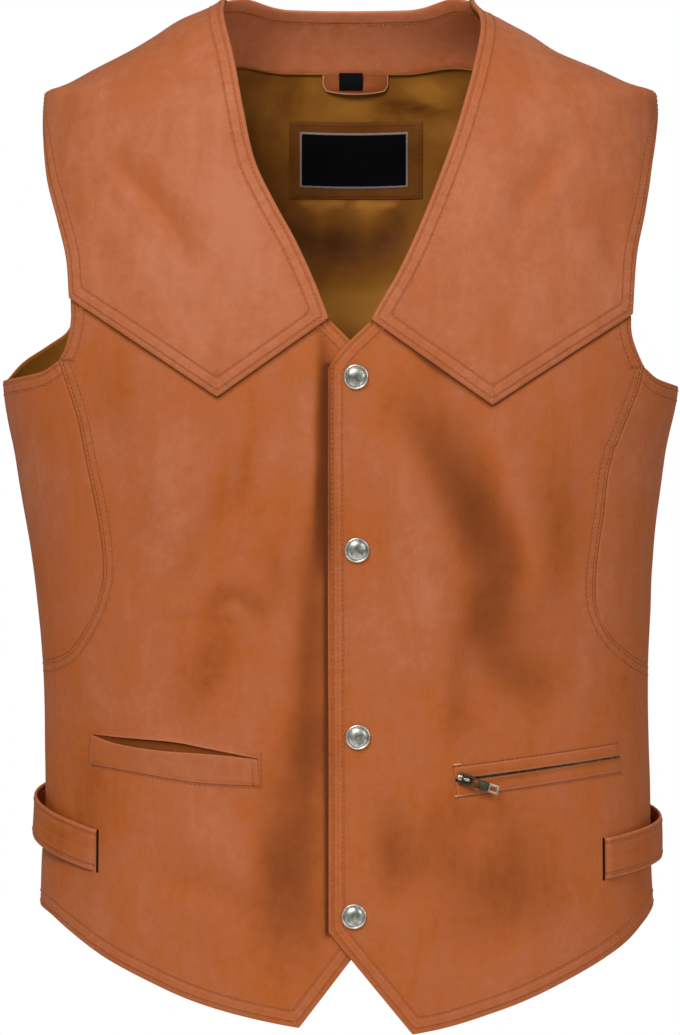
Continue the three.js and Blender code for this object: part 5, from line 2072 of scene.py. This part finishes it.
@dataclass
class ZipPocket:
    """The zip pocket on the wearer's left: two welts, the tape and the teeth between them."""

    trims: Trims
    start: Point = (63.2, -447.6)
    end: Point = (162.5, -435.4)
    slit: float = 1.15
    slit_taper: float = 0.45
    tape_half: float = 1.9
    corner: float = 1.6
    sewn_out: tuple[float, float] = (1.1, 0.9)
    upper: float = 7.4
    lower: tuple[float, float] = (9.6, 8.6)
    rise: float = 0.8
    tooth: tuple[float, float, float] = (0.75, 1.7, 0.9)
    tooth_pitch: float = 1.3
    tooth_across: float = 0.55
    tooth_lift: float = 0.55
    tack_spots: tuple[Point, ...] = ((62.0, -438.2), (62.8, -457.0))
    tack_length: float = 3.6
    tack_radius: float = 0.55
    columns: int = 90

    def line(self, across: float, before: float = 0.0, after: float = 0.0) -> Array:
        """Lays a line along the zip.

        Args:
            across: how far above the zip it is.
            before: how much longer it is at its start.
            after: how much longer it is at its end.

        Returns:
            Its points, as the front view shows them.
        """
        start, end = np.array(self.start), np.array(self.end)
        along = (end - start) / np.linalg.norm(end - start)
        up = np.array([-along[1], along[0]])
        return np.linspace(start - along * before, end + along * after, self.columns + 1) + up * across

    def build(self) -> None:
        """Adds the pocket."""
        trims, maker, wardrobe = self.trims, self.trims.maker, self.trims.maker.wardrobe
        u = np.linspace(0, 1, self.columns + 1)[None, :]
        cloth = between(self.line(-self.tape_half), self.line(self.tape_half), 4)
        tape = trims.slab(*cloth, 0.02, 0.3, Side.LEFT, edges=())
        maker.sheet("zip_cloth", tape, wardrobe.tape, Slot.TAPE, ("zip_tape",))
        rounding = self.corner * smooth((u - 0.975) / 0.025)[0]
        top = self.line(self.upper) - np.stack([rounding * 0, rounding], axis=1)
        taper = self.slit * (1 - self.slit_taper * u[0])
        up = self.line(1) - self.line(0)
        high = trims.slab(*between(self.line(0) + up * taper[:, None], top, 10), 0.02, self.rise, Side.LEFT)
        slope = self.lower[0] + (self.lower[1] - self.lower[0]) * u[0]
        low = trims.slab(
            *between(self.line(0) - up * slope[:, None], self.line(0) - up * taper[:, None], 10),
            0.02, self.rise * 0.9, Side.LEFT,
        )
        # Painted shade on the lower welt's upper part, under the slit, towards its right end.
        low.tone -= 1.3 * smooth((np.linspace(0, 1, 11)[:, None] - 0.45) / 0.5) * smooth(u / 0.4)
        over, under = self.sewn_out
        above, below = self.line(self.upper + over, 0.4, 0.6), self.line(-self.lower[0] - under, 0.4, 0.6)
        around = (above[::6], below[::6], (below[0], above[0]), (above[-1], below[-1]))
        rows = [trims.row([tuple(point) for point in line], Side.LEFT) for line in around]
        sewn = trims.stitching.sew("zip_stitches", rows, thread=wardrobe.rust_thread)
        maker.sheet("zip_upper", high, wardrobe.trim, Slot.LEATHER, ("zip_welt_upper",), (sewn,))
        maker.sheet("zip_lower", low, wardrobe.trim, Slot.LEATHER, ("zip_welt_lower",))
        self.tacks()
        self.teeth()

    def tacks(self) -> None:
        """The bar tacks at the pocket's left end."""
        maker = self.trims.maker
        for k, (x, z) in enumerate(self.tack_spots, 1):
            line = self.trims.row([(x, z), (x + self.tack_length, z + 0.35)], Side.LEFT, 0.25)[0]
            mesh = tube(f"bar_tack_{k}", line, self.tack_radius, 8)
            maker.add(f"bar_tack_{k}", mesh, maker.wardrobe.piping, Slot.LEATHER)

    def teeth(self) -> None:
        """The zip's two rows of teeth, meshed."""
        trims, wardrobe = self.trims, self.trims.maker.wardrobe
        rows = []
        for k, across in enumerate((self.tooth_across, -self.tooth_across)):
            line = self.line(across)
            line = line + unit(line[-1] - line[0]) * self.tooth_pitch / 2 * k
            rows.append(trims.row([tuple(line[0]), tuple(line[-1])], Side.LEFT, self.tooth_lift))
        length, width, height = self.tooth
        sewer = Stitching(trims.maker, self.tooth_pitch, length, width, 0.0, 6, 4, height)
        sewer.sew("zip_teeth", rows, Slot.ZIP, wardrobe.brass)


@dataclass
class NeckLabels:
    """What lies inside the back of the neck: the patch, the bare label, the hanger and its tab."""

    trims: Trims
    lining: float = 1.75
    patch: tuple[float, float, float, float] = (4.0, -61.6, 85.0, 48.6)
    label: tuple[float, float, float, float] = (2.7, -61.2, 69.0, 34.8)
    tab: tuple[float, float, float, float] = (0.7, -11.6, 14.6, 10.4)
    hanger_x: tuple[float, float] = (-16.8, 24.2)
    hanger_top: float = -7.9
    hanger_low: float = -19.4
    hanger_bow: float = 2.6
    piping: float = 0.6
    thick: tuple[float, float, float, float] = (0.6, 0.45, 1.0, 0.5)
    stitch_inset: float = 2.0
    columns: int = 40

    def rectangle(self, box: tuple, rows: int, sag: float = 0.0) -> tuple[Array, Array]:
        """A grid of x and z over a rectangle, whose middle columns may hang lower."""
        x, z, width, height = box
        u, v = np.meshgrid(np.linspace(-0.5, 0.5, self.columns + 1), np.linspace(-0.5, 0.5, rows + 1))
        return x + width * u, z + height * v - sag * (1 - 4 * u**2)

    def inward(self, grid: tuple[Array, Array], near: Array | float, thick: float) -> Shell:
        """A wall inside the back, from its distance in from the lining and its thickness."""
        far = -(self.lining + near + thick)
        return self.trims.slab(*grid, -(self.lining + near), far, None, Face.BACK)

    def build(self) -> None:
        """Adds the pieces."""
        maker, wardrobe = self.trims.maker, self.trims.maker.wardrobe
        patch = self.inward(self.rectangle(self.patch, 24, 0.4), 0.05, self.thick[0])
        rows = contour(patch, self.stitch_inset)
        sewn = self.trims.stitching.sew("patch_stitches", rows, thread=wardrobe.dark_thread)
        maker.sheet("neck_patch", patch, wardrobe.patch, Slot.LEATHER, ("label_patch",), (sewn,))
        label = self.inward(self.rectangle(self.label, 20, 0.9), 0.68, self.thick[1])
        maker.sheet("neck_label", label, wardrobe.label, Slot.LABEL, ("woven_label",))
        self.hanger()

    def hanger(self) -> None:
        """The shield-shaped hanger with a pale tube round its rim, a painted highlight on its edge, and the
        bare tab on it.
        """
        maker, wardrobe = self.trims.maker, self.trims.maker.wardrobe
        x1, x2 = self.hanger_x
        u = np.linspace(-1, 1, self.columns + 1)
        foot = self.hanger_low + 2.1 * np.abs(u) ** 2.4 + 3.0 * smooth((np.abs(u) - 0.9) / 0.1)
        line = np.stack([x1 + (x2 - x1) * (u + 1) / 2, foot], axis=1)
        head = np.stack([line[:, 0], np.full_like(u, self.hanger_top)], axis=1)
        grid = between(line, head, 12)
        drop = smooth(np.linspace(1.3, 0, 13))[:, None]
        bow = self.hanger_bow * np.cos(u * math.pi / 2)[None, :] ** 0.8 * drop
        shell = self.inward(grid, 0.1 + bow, self.thick[2])
        maker.sheet("hanger", shell, wardrobe.hanger, Slot.LEATHER, ("hanger_loop",))
        middle = (shell.outer + shell.inner) / 2
        rim = chain(middle[::-1, 0], middle[0], middle[:, -1])
        # The pale tube round the rim is a painted highlight on the hanger's edge.
        maker.add("hanger_piping", tube("hanger_piping", rim, self.piping, 10), wardrobe.piping, Slot.LEATHER)
        grid = self.rectangle(self.tab, 10)
        centre = (grid[0] - (x1 + x2) / 2) / ((x2 - x1) / 2)
        bow = self.hanger_bow * np.cos(centre * math.pi / 2) ** 0.8
        tab = self.inward(grid, 1.25 + bow * smooth(np.linspace(1.25, 0.3, 11))[:, None], self.thick[3])
        maker.sheet("tab", tab, wardrobe.tab, Slot.LABEL, ("size_tab",))


@dataclass
class SnapRow:
    """The four snap caps: a rolled rim, a groove and a dome."""

    trims: Trims
    spots: tuple[Point, ...] = ((3.3, -206), (3.9, -309.5), (4.5, -421.5), (2.1, -528.5))
    radius: float = 7.5
    segments: int = 56
    profile: tuple[Point, ...] = (
        (0, -0.2), (6.9, -0.2), (7.25, 0.25), (7.5, 0.8), (7.46, 1.25), (7.2, 1.65), (6.85, 1.8), (6.5, 1.7),
        (6.22, 1.42), (6.05, 1.3), (5.85, 1.4), (5.6, 1.72), (5.0, 2.2), (4.1, 2.62), (3.0, 2.95),
        (1.6, 3.14), (0.7, 3.19), (0, 3.2),
    )

    def build(self) -> None:
        """Adds the caps."""
        wardrobe = self.trims.maker.wardrobe
        form = self.trims.cloth.form
        for k, (x, z) in enumerate(self.spots):
            place = form.place_at(np.array([x]), np.array([z]))
            base = self.trims.cloth.points(place, 0.0, Side.LEFT)[0]
            out = form.normal(place)[0]
            mesh = self.cap(f"cap_{k + 1}", base, out)
            self.trims.maker.add(f"cap_{k + 1}", mesh, wardrobe.nickel, Slot.SNAP, (f"snap_cap_{k + 1}",))

    def cap(self, name: str, base: Array, out: Array) -> bpy.types.Mesh:
        """Turns one cap's mesh.

        Args:
            name: the mesh's name.
            base: the middle of its foot.
            out: the direction that it faces.

        Returns:
            The mesh, whose edge attribute is the distance in from its rim.
        """
        side = unit(np.cross(out, (0.0, 0.0, 1.0)))
        up = np.cross(side, out)
        turns = np.linspace(0, 2 * math.pi, self.segments, endpoint=False)
        verts, rim = [base + out * self.profile[0][1]], [self.radius]
        for r, h in self.profile[1:-1]:
            verts += [base + out * h + (side * math.cos(t) + up * math.sin(t)) * r for t in turns]
            rim += [self.radius - r if h > 0.5 else 0.0] * len(turns)
        verts.append(base + out * self.profile[-1][1])
        rim.append(self.radius)
        n, last = self.segments, len(verts) - 1
        faces = [(0, 1 + (j + 1) % n, 1 + j) for j in range(n)]
        for k in range(len(self.profile) - 3):
            faces += [
                (1 + k * n + j, 1 + k * n + (j + 1) % n, 1 + (k + 1) * n + (j + 1) % n, 1 + (k + 1) * n + j)
                for j in range(n)
            ]
        foot = last - n
        faces += [(foot + j, foot + (j + 1) % n, last) for j in range(n)]
        mesh = plain_mesh(name, np.array(verts), faces)
        layer = mesh.attributes.new("edge", "FLOAT", "POINT")
        layer.data.foreach_set("value", np.array(rim, np.float32) * MM)
        return mesh


@dataclass
class WaistStrap:
    """A strap that comes out of a slot in the front and goes round the side to the back."""

    trims: Trims
    side: Side
    slot_x: float = 153.5
    width: float = 23.0
    thick: float = 2.0
    stand: float = 5.0
    back_angle: float = 128.0
    dive: float = 2.4
    end_flat: float = 0.12
    end_rise: float = 0.4
    slot_half: float = 12.2
    slot_lift: float = 0.1
    columns: int = 110
    levels: dict = field(default_factory=lambda: {
        Side.RIGHT: (-492.0, -472.0, -456.0), Side.LEFT: (-497.0, -486.0, -470.0),
    })

    def build(self) -> None:
        """Adds the strap, its stitches, its pale cut edges, which are partly painted highlight, and the slot,
        whose near-black tube is painted shade.
        """
        trims, maker, wardrobe = self.trims, self.trims.maker, self.trims.maker.wardrobe
        cloth, sign, word = trims.cloth, self.side.value, self.side.word
        slot_z, side_z, back_z = self.levels[self.side]
        slot = abs(float(cloth.form.place_at(sign * self.slot_x, slot_z)[..., 0]))
        end = math.radians(self.back_angle)
        share = np.linspace(0, 1, self.columns + 1)
        turn = (math.pi / 2 - slot) / (end - slot)
        level = np.where(
            share < turn, slot_z + (side_z - slot_z) * share / turn,
            side_z + (back_z - side_z) * (share - turn) / (1 - turn),
        )
        from_end = (1 - share - self.end_flat) / self.end_rise
        rise = self.stand * smooth(np.where(share < turn, share / turn, from_end))
        across = np.linspace(-0.5, 0.5, 17)[:, None] * self.width
        bulge = 0.8 * np.sin(math.pi * share) * (1 - (2 * across / self.width) ** 2)
        angles = np.broadcast_to(sign * (slot + (end - slot) * share), (17, len(share)))
        places = np.stack([angles, level + across], axis=-1)
        low = 0.1 + rise + bulge * 0.4 - self.dive * (1 - smooth(share / 0.03))
        outer, inner = cloth.points(places, low + self.thick), cloth.points(places, low)
        tone = np.broadcast_to(0.4 - 0.9 * np.sin(np.linspace(0, 9, len(share))) ** 2, places.shape[:2])
        shell = trims.finish(outer, inner, ("bottom", "top", "right"), tone)
        sewn = trims.stitching.sew(f"strap_stitches_{word}", contour(shell, STRAP_ROW))
        name = f"strap_{word}"
        maker.sheet(name, shell, wardrobe.strap, Slot.LEATHER, (f"side_strap_{word}",), (sewn,), "stretched")
        # Pale tubes along the cut edges: their own paler colour and a painted highlight.
        for place, k in (("top", -1), ("foot", 0)):
            line = (outer[k] * 0.5 + inner[k] * 0.5)[2:-2]
            piece = f"strap_{word}_{place}_edge"
            maker.add(piece, tube(piece, line, 0.9, 8), wardrobe.raw_edge, Slot.LEATHER)
        # The near-black slot tube is painted shade in its opening.
        for piece, x, radius, finish in (
            (f"slot_{word}", self.slot_x - 0.1, 0.85, wardrobe.slit),
            (f"slot_lip_{word}", self.slot_x - 1.25, 0.4, wardrobe.strap),
        ):
            ends = [(sign * x, slot_z + self.slot_half), (sign * x, slot_z - self.slot_half)]
            line = trims.row(ends, self.side, self.slot_lift)[0]
            maker.add(piece, tube(piece, line, radius, 8), finish, Slot.LEATHER)


@dataclass
class ZipSlider:
    """The zip's slider and its pull tab, drawn with X along them and Z out of the cloth."""

    trims: Trims
    joint: dict
    spot: Point = (68.5, -447.0)
    bar: tuple[float, float] = (1.6, 3.0)
    blocks: tuple = (((-0.2, 0, 0.55), (9.0, 6.4, 1.9), 0.8), ((-3.2, 0, 1.2), (3.0, 4.2, 1.5), 0.7))
    beads: tuple = (((-3.7, 0, 2.1), (2.0, 1.9, 1.0)), ((0.0, 0, 4.55), (1.9, 0.95, 0.45)))
    tab: tuple[float, float, float] = (20.0, 5.6, 0.9)
    plate: tuple[float, float] = (9.6, 7.4)
    ring_start: float = 12.8
    lean: float = 4.0

    def frame(self) -> tuple[Matrix, Vector]:
        """The slider's frame from the hinge of the pull, and the hinge's point."""
        pivot = Vector(self.joint["pos_m"])
        across = -Vector(self.joint["axis"])
        place = self.trims.cloth.form.place_at(np.array([self.spot[0]]), np.array([self.spot[1]]))
        out = Vector(self.trims.cloth.form.normal(place)[0])
        out = (out - across * out.dot(across)).normalized()
        along = across.cross(out)
        turn = Matrix((along, across, out)).transposed().to_4x4()
        return turn, pivot

    def build(self) -> None:
        """Adds the slider and the pull."""
        turn, pivot = self.frame()
        wardrobe = self.trims.maker.wardrobe
        reach, rise = self.bar
        fixed = Matrix.Translation(pivot - (turn @ Vector((reach, 0, rise))) * MM) @ turn
        swing = Matrix.Translation(pivot) @ turn @ Matrix.Rotation(math.radians(self.lean), 4, "Y")
        body = [self.box(*block) for block in self.blocks] + [self.arch()]
        beads = [self.ball(*bead) for bead in self.beads]
        for name, shapes, where, finish, node, moves in (
            ("slider_body", body, fixed, wardrobe.brass, "zip_slider", VEST_BODY),
            ("slider_beads", beads, fixed, wardrobe.bead, None, VEST_BODY),
            ("pull_tab", self.pull_parts(), swing, wardrobe.brass, "zip_pull", PULL_BODY),
            ("pull_rim", self.rim_parts(), swing, wardrobe.bead, None, PULL_BODY),
        ):
            mesh = self.placed(name, shapes, where)
            self.trims.maker.add(name, mesh, finish, Slot.ZIP, (node,) if node else (), moves)

    def box(self, centre: Colour, size: Colour, bevel: float) -> bmesh.types.BMesh:
        """Makes a box with rounded edges.

        Args:
            centre: its middle, in millimetres.
            size: its size.
            bevel: how far its edges are rounded.

        Returns:
            The box.
        """
        shape = bmesh.new()
        bmesh.ops.create_cube(shape, size=1)
        bmesh.ops.scale(shape, vec=size, verts=shape.verts)
        offset = min(bevel, 0.45 * min(size))
        edges = list(shape.edges)
        bmesh.ops.bevel(shape, geom=edges, offset=offset, segments=3, profile=0.5, affect="EDGES")
        bmesh.ops.translate(shape, vec=centre, verts=shape.verts)
        return shape

    def ball(self, centre: Colour, radii: Colour) -> bmesh.types.BMesh:
        """Makes an ellipsoid.

        Args:
            centre: its middle, in millimetres.
            radii: its radii.

        Returns:
            The ellipsoid.
        """
        shape = bmesh.new()
        bmesh.ops.create_uvsphere(shape, u_segments=20, v_segments=12, radius=1)
        bmesh.ops.scale(shape, vec=radii, verts=shape.verts)
        bmesh.ops.translate(shape, vec=centre, verts=shape.verts)
        return shape

    def arch(self) -> bmesh.types.BMesh:
        """The crown: an arched bar over the pull's end."""
        turns = np.linspace(0, math.pi, 15)
        path = np.stack([-3.1 * np.cos(turns), 0 * turns, 1.2 + 2.9 * np.sin(turns) ** 0.7], axis=1)
        mesh = tube("arch", path, 0.75, 10)
        shape = bmesh.new()
        shape.from_mesh(mesh)
        bmesh.ops.scale(shape, vec=(1 / MM, 1 / MM, 1 / MM), verts=shape.verts)
        bpy.data.meshes.remove(mesh)
        return shape

    def pull_parts(self) -> list[bmesh.types.BMesh]:
        """The pull's window bars and dark plate."""
        _, width, thick = self.tab
        side = width / 2 - 0.62
        middle, long = self.plate
        return [
            self.box((0.0, 0, 0), (0.9, width, thick), 0.35),
            self.box((3.2, side, 0), (6.6, 1.2, thick), 0.35),
            self.box((3.2, -side, 0), (6.6, 1.2, thick), 0.35),
            self.box((middle, 0, 0), (long, width, thick), 0.35),
            self.box((middle, 0, 0.18), (long - 1.8, width - 1.8, thick), 0.3),
        ]

    def rim_parts(self) -> list[bmesh.types.BMesh]:
        """The pale square ring at the pull's far end."""
        length, width, thick = self.tab
        end = length - thick / 2
        start = self.ring_start
        centre, long, side = (start + end) / 2, end - start - 0.5, width / 2 - 0.7
        return [
            self.box((start + 0.6, 0, 0.02), (1.2, width, thick), 0.3),
            self.box((end - 0.75, 0, 0.02), (1.5, width, thick), 0.4),
            self.box((centre, side, 0.02), (long, 1.4, thick), 0.4),
            self.box((centre, -side, 0.02), (long, 1.4, thick), 0.4),
        ]

    def placed(self, name: str, shapes: Sequence[bmesh.types.BMesh], where: Matrix) -> bpy.types.Mesh:
        """Makes one mesh from several shapes.

        Args:
            name: the mesh's name.
            shapes: the shapes, in millimetres.
            where: their place, in metres.

        Returns:
            The mesh, smooth all over.
        """
        whole = bmesh.new()
        part = bpy.data.meshes.new("part")
        for shape in shapes:
            shape.to_mesh(part)
            whole.from_mesh(part)
            shape.free()
        bpy.data.meshes.remove(part)
        mesh = bpy.data.meshes.new(name)
        whole.to_mesh(mesh)
        whole.free()
        mesh.transform(where @ Matrix.Scale(MM, 4))
        mesh.polygons.foreach_set("use_smooth", np.ones(len(mesh.polygons), bool))
        mesh.update()
        return mesh


@dataclass
class Studio:
    """The camera, the pale floor and the soft lights."""

    distance: float = 3.3
    centre: tuple[float, float] = (-0.0062, -0.29)
    frame_height: float = 0.6417
    sensor: float = 36.0
    floor_z: float = -0.9
    floor_radius: float = 1.7
    ambient: float = 0.14
    sky: float = 0.14
    front_glow: float = 0.1
    aim: tuple[float, float, float] = (0, -0.05, -0.28)
    lights: tuple = (
        ("key", (-0.8, -2.15, 1.65), (1.1, 1.1), 66),
        ("fill", (1.9, -1.8, 0.7), (1.4, 1.4), 18),
        ("rear_key", (0.9, 2.4, 1.0), (1.3, 1.3), 38, False),
        ("rear_fill", (-1.5, 2.2, 0.0), (1.2, 1.6), 12, False),
    )

    def camera(self) -> None:
        """A level camera that takes in the photograph's frame."""
        data = bpy.data.cameras.new("camera")
        data.sensor_fit = "AUTO"
        data.sensor_width = self.sensor
        data.lens = self.sensor * self.distance / self.frame_height
        camera = placed_object("camera", data)
        camera.location = (self.centre[0], -self.distance, self.centre[1])
        camera.rotation_euler = (math.pi / 2, 0, 0)
        bpy.context.scene.camera = camera

    def floor(self) -> None:
        """A round pale floor under the waistcoat."""
        mesh = bpy.data.meshes.new("floor")
        turns = np.linspace(0, 2 * math.pi, 96, endpoint=False)
        radius, z = self.floor_radius, self.floor_z
        verts = [(math.cos(t) * radius, math.sin(t) * radius, z) for t in turns]
        mesh.from_pydata(verts, [], [tuple(range(len(verts)))])
        make = Finish("pale_floor")
        mesh.materials.append(make.surface({"Base Color": (0.86, 0.86, 0.86), "Roughness": 0.9}))
        placed_object("floor", mesh)

    def light(self, name: str, at: tuple, size: tuple, power: float, glossy: bool = True) -> None:
        """Adds a soft box that faces the waistcoat.

        Args:
            name: its name.
            at: where it stands.
            size: its width and height.
            power: its power, in watts.
            glossy: whether it shows in the highlights.
        """
        data = bpy.data.lights.new(name, "AREA")
        data.shape = "RECTANGLE"
        data.size, data.size_y = size
        data.energy = power
        lamp = placed_object(name, data)
        lamp.location = at
        lamp.visible_glossy = glossy
        lamp.rotation_euler = (Vector(self.aim) - Vector(at)).to_track_quat("-Z", "Y").to_euler()

    def build(self) -> None:
        """Sets up the studio."""
        self.camera()
        self.floor()
        world = bpy.data.worlds.new("studio")
        bpy.context.scene.world = world
        world.use_nodes = True
        graph = Graph(world.node_tree)
        world.node_tree.nodes.clear()
        seen = graph.node("ShaderNodeLightPath")["Is Camera Ray"]
        ray = graph.node("ShaderNodeTexCoord")["Generated"]
        parts = graph.node("ShaderNodeSeparateXYZ", None, {"Vector": ray})
        above, ahead = parts["Z"].step(-0.4, 1.0), parts["Y"].step(0.6, -1.0)
        glow = above * self.sky + ahead * self.front_glow + self.ambient
        strength = glow * (1 - seen) + seen
        back = graph.node("ShaderNodeBackground", None, {"Color": (1.0, 1.0, 1.0), "Strength": strength})
        graph.node("ShaderNodeOutputWorld", None, {"Surface": back["Background"]})
        for row in self.lights:
            self.light(*row)
        bpy.context.scene.view_settings.view_transform = "Standard"


def main() -> None:
    """Builds the waistcoat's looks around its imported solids."""
    logging.basicConfig(level=logging.INFO, format="%(name)s %(message)s")
    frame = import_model()
    Studio().build()
    form = TorsoForm()
    cloth = Cloth(form, Folds(form, FRONT_CREASES + BACK_CREASES))
    inside = Cloth(form, LiningFolds(form, BACK_CREASES))
    maker = PieceMaker(Wardrobe())
    stitching = Stitching(maker)
    panels = Panels(cloth, inside, maker, stitching)
    panels.fronts()
    panels.back()
    trims = Trims(cloth, maker, stitching)
    WeltPocket(trims).build()
    ZipPocket(trims).build()
    NeckLabels(Trims(inside, maker, stitching)).build()
    SnapRow(trims).build()
    for side in Side:
        WaistStrap(trims, side).build()
    joint = next(j for j in frame["record"]["behaviour"]["joints"] if j["child"] == PULL_BODY)
    ZipSlider(trims, joint).build()
    LOG.info("%d pieces", len(maker.made))


if __name__ == "__main__":
    main()
